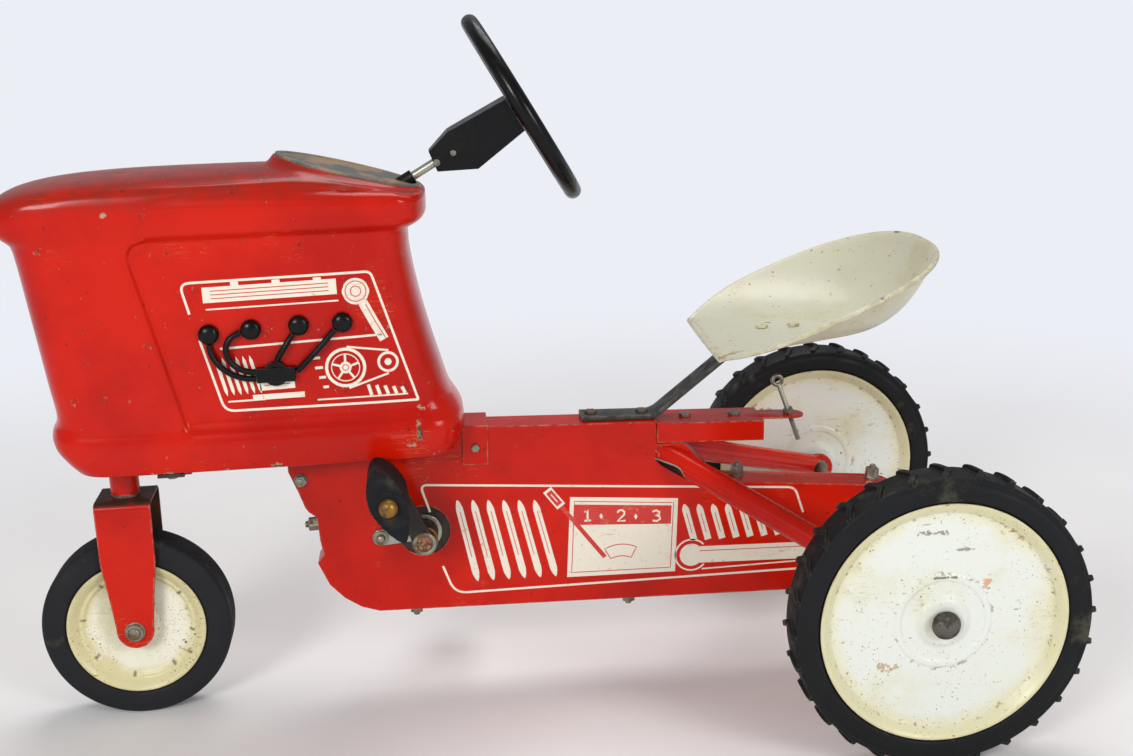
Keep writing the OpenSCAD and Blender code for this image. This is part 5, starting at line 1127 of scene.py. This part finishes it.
def make_front_wheel():
    """Front wheel: a tyre with two grooves and a fine tread line, and two discs with marks on their step."""
    centre = (FRONT_X, 0, FRONT_R)
    half, rim, count = 21.0, 65.0, 8
    line = tyre_outline(FRONT_R, rim, half, half - 4)
    tread = []
    for y, deep in ((8.0, 1.6), (2.6, 0.9), (-2.6, 0.9), (-8.0, 1.6)):
        tread += [(FRONT_R, y + 1.1), (FRONT_R - deep, y), (FRONT_R, y - 1.1)]
    start = [r for r, _ in line].index(FRONT_R) + 1
    line = line[:start] + tread + line[start:]
    make_piece("front_tyre_ring", turned(softened(line, 1.6), centre, 144), FRONT_TYRE, "front_tyre", 45)
    y, hub, step = half - 1.7, 8.1, rim * 0.8
    disc = [(hub, y - 6), (16, y - 6), (20, y - 10), (rim * 0.76, y - 10), (step, y - 7.7),
            (rim - 10, y - 7.7), (rim - 4, y - 1.9), (rim - 1.4, y - 0.1), (rim, y)]

    def marks(r, y, a):
        """Eight short radial dents, 0.9 mm deep, on the step at 0.8 of the rim's radius."""
        ray = np.abs((a * count / ROUND + 0.5) % 1 - 0.5) * ROUND / count * r
        return r, y - 0.9 * np.exp(-(ray / 1.6) ** 2) * np.exp(-((r - step) / 4.5) ** 2)

    shell = turned(softened(thickened(disc, SHEET), 1.8, 5), centre, 192, marks)
    make_piece("front_disc_pair", both_sides(shell), FRONT_CREAM, "front_discs", 50)


def lug_shells(centre, half, tread_r, height):
    """Both rows of slanted bars: a rounded section, 6 wide at its foot, along a slanted line on the tread.

    A point s along the bar and w across it sits at y = mid + s cos(slant) - w sin(slant) and at the angle
    (s sin(slant) + w cos(slant)) / r round the wheel.
    """
    slant, mid = math.radians(26), 9.5
    s = np.array([-9.6, -9.0, -4, 0, 4, 8.4, 9.6])[:, None]
    w = np.array([-3.0, -2.7, -2.1, 0.0, 2.1, 2.7, 3.0]) * np.where(np.abs(s) > 9, 0.86, 1)
    rise = np.array([-1.2, 1.6, height - 0.05, height, height - 0.05, 1.6, -1.2])
    ends = np.array([0.9, 1, 1, 1, 0.93, 0.72, 0.4])[:, None]
    y = np.clip(mid + s * math.cos(slant) - w * math.sin(slant), 0.15, half)
    r = tread_r + np.where(rise > 0, rise * ends, rise)
    turn = (s * math.sin(slant) + w * math.cos(slant)) / tread_r
    return [capped_tube(np.stack([centre[0] + r * np.cos(turn + a), centre[1] + side * y,
                                  centre[2] + r * np.sin(turn + a)], -1))
            for side in (1, -1) for a in angles(28)]


def make_rear_wheel(name, sign):
    """A rear wheel: a tyre with two rows of lugs, and two discs with an embossed ring and a rolled lip."""
    centre = (REAR_X, sign * 220.0, REAR_R)
    half, rim, lug = 19.0, 108.0, 3.6
    tread = REAR_R - lug
    ring = turned(softened(tyre_outline(tread, rim, half, half - 1.5), 1.8), centre, 160)
    lugs = lug_shells(centre, half, tread, lug)
    make_piece(f"{name}_tyre_ring", joined(ring, *lugs), TYRE, f"{name}_tyre", 40)
    y = half - 2.2
    disc = [(10.0, y - 3), (19, y - 3), (24, y - 6.5), (36, y - 7), (38, y - 5.8), (41, y - 5.8), (43, y - 7),
            (rim - 12.5, y - 7.6), (rim - 10, y - 7.2), (rim - 4, y - 1.4), (rim - 1.4, y + 0.4),
            (rim, y + 0.5)]
    shell = turned(softened(thickened(disc, SHEET), 1.6, 5), (REAR_X, 0, REAR_R), 160)
    make_piece(f"{name}_disc_pair", both_sides(shell, (0, centre[1], 0)), DISC_CREAM, f"{name}_discs", 50)


make_front_wheel()
make_rear_wheel("left", -1)
make_rear_wheel("right", 1)


# Steering wheel
STEER = np.array([FRONT_X + 387.7, 0, 560.0])
LEAN = math.pi / 2 - math.radians(29.5)


def on_rod(points):
    """Points across (x), sideways (y) and along the rod (z), turned to its slope at the wheel's centre."""
    x, y, z = np.moveaxis(np.asarray(points, float), -1, 0)
    c, s = math.cos(LEAN), math.sin(LEAN)
    return np.stack([x * c + z * s, y, z * c - x * s], -1) + STEER


def make_steering_ring():
    """A torus for the ring, a softened disc for its boss, and three flat bars that flare at both ends."""
    thick, mid = 7.75, (190.5 - 15.5) / 2
    a, b = angles(120)[:, None], angles(24)[None, :]
    r = mid + thick * np.cos(b)
    ring = on_rod(np.stack([r * np.cos(a), r * np.sin(a), thick * np.sin(b) + 0 * a], -1))
    hub = softened([(0.4, -8), (17, -8), (17, 7), (0.4, 7)], [0.1, 2, 5, 0.1], 6)
    h = angles(48)[:, None]
    boss = on_rod(np.stack([hub[:, 0] * np.cos(h), hub[:, 0] * np.sin(h), hub[:, 1] + 0 * h], -1))
    shells = [outward(s, grid_faces(*s.shape[:2], closed_rows=True)) for s in (ring, boss)]
    t = np.linspace(0, 1, 14)[:, None]
    wide = 7.5 + 5.5 * (1 - t) ** 2 + 3.0 * t ** 7
    deep = 3.5 + 1.2 * (1 - t) ** 3 + 1.6 * t ** 7
    for turn in np.radians([0, 120, 240]):
        x, y = 8 + (mid - 8) * t + 0 * b, wide * np.cos(b)
        z = -0.6 + deep * np.sign(np.sin(b)) * np.abs(np.sin(b)) ** 0.8
        c, s = math.cos(turn), math.sin(turn)
        shells.append(capped_tube(on_rod(np.stack([x * c - y * s, x * s + y * c, z], -1))))
    make_piece("steering_wheel_ring", joined(*shells), BLACK, "steering_ring", 50)


make_steering_ring()


# Pedals and leads
def make_pedal(name, centre, sign):
    """A lozenge block turned 110 degrees, grooved on its treads, round a bored boss.

    With c and s for the cosine and sine round it, x is 32 |c| ahead and -37.6 |c|^1.45 behind, and z is
    16.7 |s|^1.18 ahead and 16.7 |s|^1.35 behind.
    """
    turn = math.radians(110)
    a = angles(160)
    c, s = np.cos(a), np.sin(a)
    groove = 0.8 * np.clip(np.cos(c * 38) - 0.2, 0, 1) * np.clip(np.abs(s) * 3 - 0.6, 0, 1)
    x = np.where(c > 0, 32 * np.abs(c), -37.6 * np.abs(c) ** 1.45)
    z = np.sign(s) * (16.7 * np.abs(s) ** np.where(c > 0, 1.18, 1.35) - groove * np.abs(s))
    rings = []
    for y, e in zip((76.5, 76.9, 78.2, 82, 90, 100, 115, 123, 126.8, 128.1, 128.5),
                    (0.9, 0.96, 1, 1, 1, 1, 1, 1, 1, 0.96, 0.9)):
        u, v = x * e, z * e
        rings.append(np.column_stack([u * math.cos(turn) - v * math.sin(turn) + centre[0],
                                      np.full(len(u), sign * y),
                                      u * math.sin(turn) + v * math.cos(turn) + centre[1]]))
    boss = softened([(5.0, 75), (12, 75), (12, 130), (5.0, 130)], [0.3, 1.2, 1.6, 0.3], 5)
    points, faces = turned(boss, (centre[0], 0, centre[1]), 40)
    shells = [capped_tube(np.array(rings)), outward(points * [1, sign, 1], faces)]
    make_piece(f"{name}_block", joined(*shells), PEDAL_RUBBER, name, 40)


def curve(p, t):
    """The Bezier curve of the points p at the shares t."""
    n = len(p) - 1
    weights = np.array([math.comb(n, k) * t ** k * (1 - t) ** (n - k) for k in range(n + 1)])
    return weights.T @ np.asarray(p, float)


def make_leads():
    """Four round leads, 5.5 across, along Bezier curves given as x, z and distance off the panel."""
    paths = [
        [(99, 370.1, 4), (99, 352, 6), (118, 337, 6), (137.5, 337.5, 4)],
        [(126.6, 380, 4), (104, 374, 8), (112, 345, 8), (137.3, 343.6, 4)],
        [(172.1, 376, 4), (166, 367, 8), (160, 360, 8), (157, 353.2, 3.6)],
        [(209, 377.8, 4), (198, 366, 9), (186, 354, 9), (174, 342.5, 4)],
    ]
    shells = []
    b = angles(14)[None, :, None]
    for p in paths:
        line = curve([(FRONT_X + x, -58.65 - off, z) for x, z, off in p], np.linspace(0, 1, 34))
        d = np.gradient(line, axis=0)
        d /= np.linalg.norm(d, axis=1)[:, None]
        u = np.cross(d, [0, 1.0, 0])
        u /= np.linalg.norm(u, axis=1)[:, None]
        v = np.cross(d, u)
        shells.append(capped_tube(line[:, None] + 2.75 * (u[:, None] * np.cos(b) + v[:, None] * np.sin(b))))
    make_piece("lead_set", joined(*shells), LEAD_RUBBER, "plug_leads", 50)


make_pedal("left_pedal", (-130.664, 231.998), -1)
make_pedal("right_pedal", (-73.052, 104.402), 1)
make_leads()


# Floor, light and camera
BACKDROP = rgb(236, 238, 245)


def make_floor():
    """A pale floor that takes the shadow near the tractor and fades to the pale backdrop further out."""
    size = 30.0
    mesh = bpy.data.meshes.new("floor")
    corners = [(-size, -size, 0), (size, -size, 0), (size, size, 0), (-size, size, 0)]
    mesh.from_pydata(corners, [], [[0, 1, 2, 3]])
    coat = Finish("studio floor", Specular_IOR_Level=0.1)
    fine = coat.cloud(6.0)
    mesh.materials.append(coat.done(coat.tint(fine, (236, 233, 232), (242, 240, 239)),
                                    coat.eased(fine, 0, 1, 0.7, 0.9)))
    path = coat.put("LightPath").outputs
    seen = coat.most(path["Is Camera Ray"], coat.most(path["Is Glossy Ray"], path["Is Transmission Ray"]))
    share = coat.times(seen, coat.eased(coat.length(coat.at), 0.6, 1.7))
    glow = coat.put("Emission", {"Color": BACKDROP, "Strength": 1.0})
    mix = coat.put("MixShader", {0: share, 1: coat.shader.outputs[0], 2: glow.outputs[0]})
    coat.tree.links.new(mix.outputs[0], coat.tree.nodes["Material Output"].inputs["Surface"])
    floor = bpy.data.objects.new("floor", mesh)
    bpy.context.scene.collection.objects.link(floor)


def make_world():
    """Soft even light from all round, seen by the camera and through clear pieces as the pale backdrop."""
    world = bpy.data.worlds.new("studio")
    world.use_nodes = True
    sky = Layers(world.node_tree)
    base = sky.tree.nodes["Background"]
    base.inputs["Color"].default_value = (0.95, 0.97, 1.0, 1.0)
    base.inputs["Strength"].default_value = 0.34
    path = sky.put("LightPath").outputs
    seen = sky.most(path["Is Camera Ray"], path["Is Transmission Ray"])
    shown = sky.put("Background", {"Color": BACKDROP, "Strength": 1.0})
    mix = sky.put("MixShader", {0: seen, 1: base.outputs[0], 2: shown.outputs[0]})
    sky.tree.links.new(mix.outputs[0], sky.tree.nodes["World Output"].inputs["Surface"])
    bpy.context.scene.world = world


def make_lamp(name, at, size, power):
    """A square lamp aimed at the tractor's middle."""
    data = bpy.data.lights.new(name, "AREA")
    data.shape, data.size, data.energy = "SQUARE", size, power
    light = bpy.data.objects.new(name, data)
    light.location = Vector(at)
    light.rotation_euler = (Vector((0, 0, 0.3)) - Vector(at)).to_track_quat("-Z", "Y").to_euler()
    bpy.context.scene.collection.objects.link(light)


def make_camera():
    """The photo's camera, as it was fitted to the wheels."""
    data = bpy.data.cameras.new("photo camera")
    data.lens, data.sensor_width, data.sensor_fit = 49.84, 36.0, "HORIZONTAL"
    camera = bpy.data.objects.new("photo camera", data)
    right, up = Vector((0.99467, -0.09711, -0.03456)), Vector((0.05851, 0.25584, 0.96494))
    turn = Matrix((right, up, right.cross(up))).transposed()
    camera.matrix_world = Matrix.Translation((-0.085505, -1.43169, 0.69161)) @ turn.to_4x4()
    bpy.context.scene.collection.objects.link(camera)
    bpy.context.scene.camera = camera


make_floor()
make_world()
make_lamp("left key", (-1.5, -2.6, 1.5), 0.9, 50)
make_lamp("right fill", (1.9, -2.4, 1.3), 0.9, 34)
make_lamp("top", (0.3, 0.9, 2.6), 1.6, 34)
make_camera()
bpy.context.scene.view_settings.view_transform = "Standard"
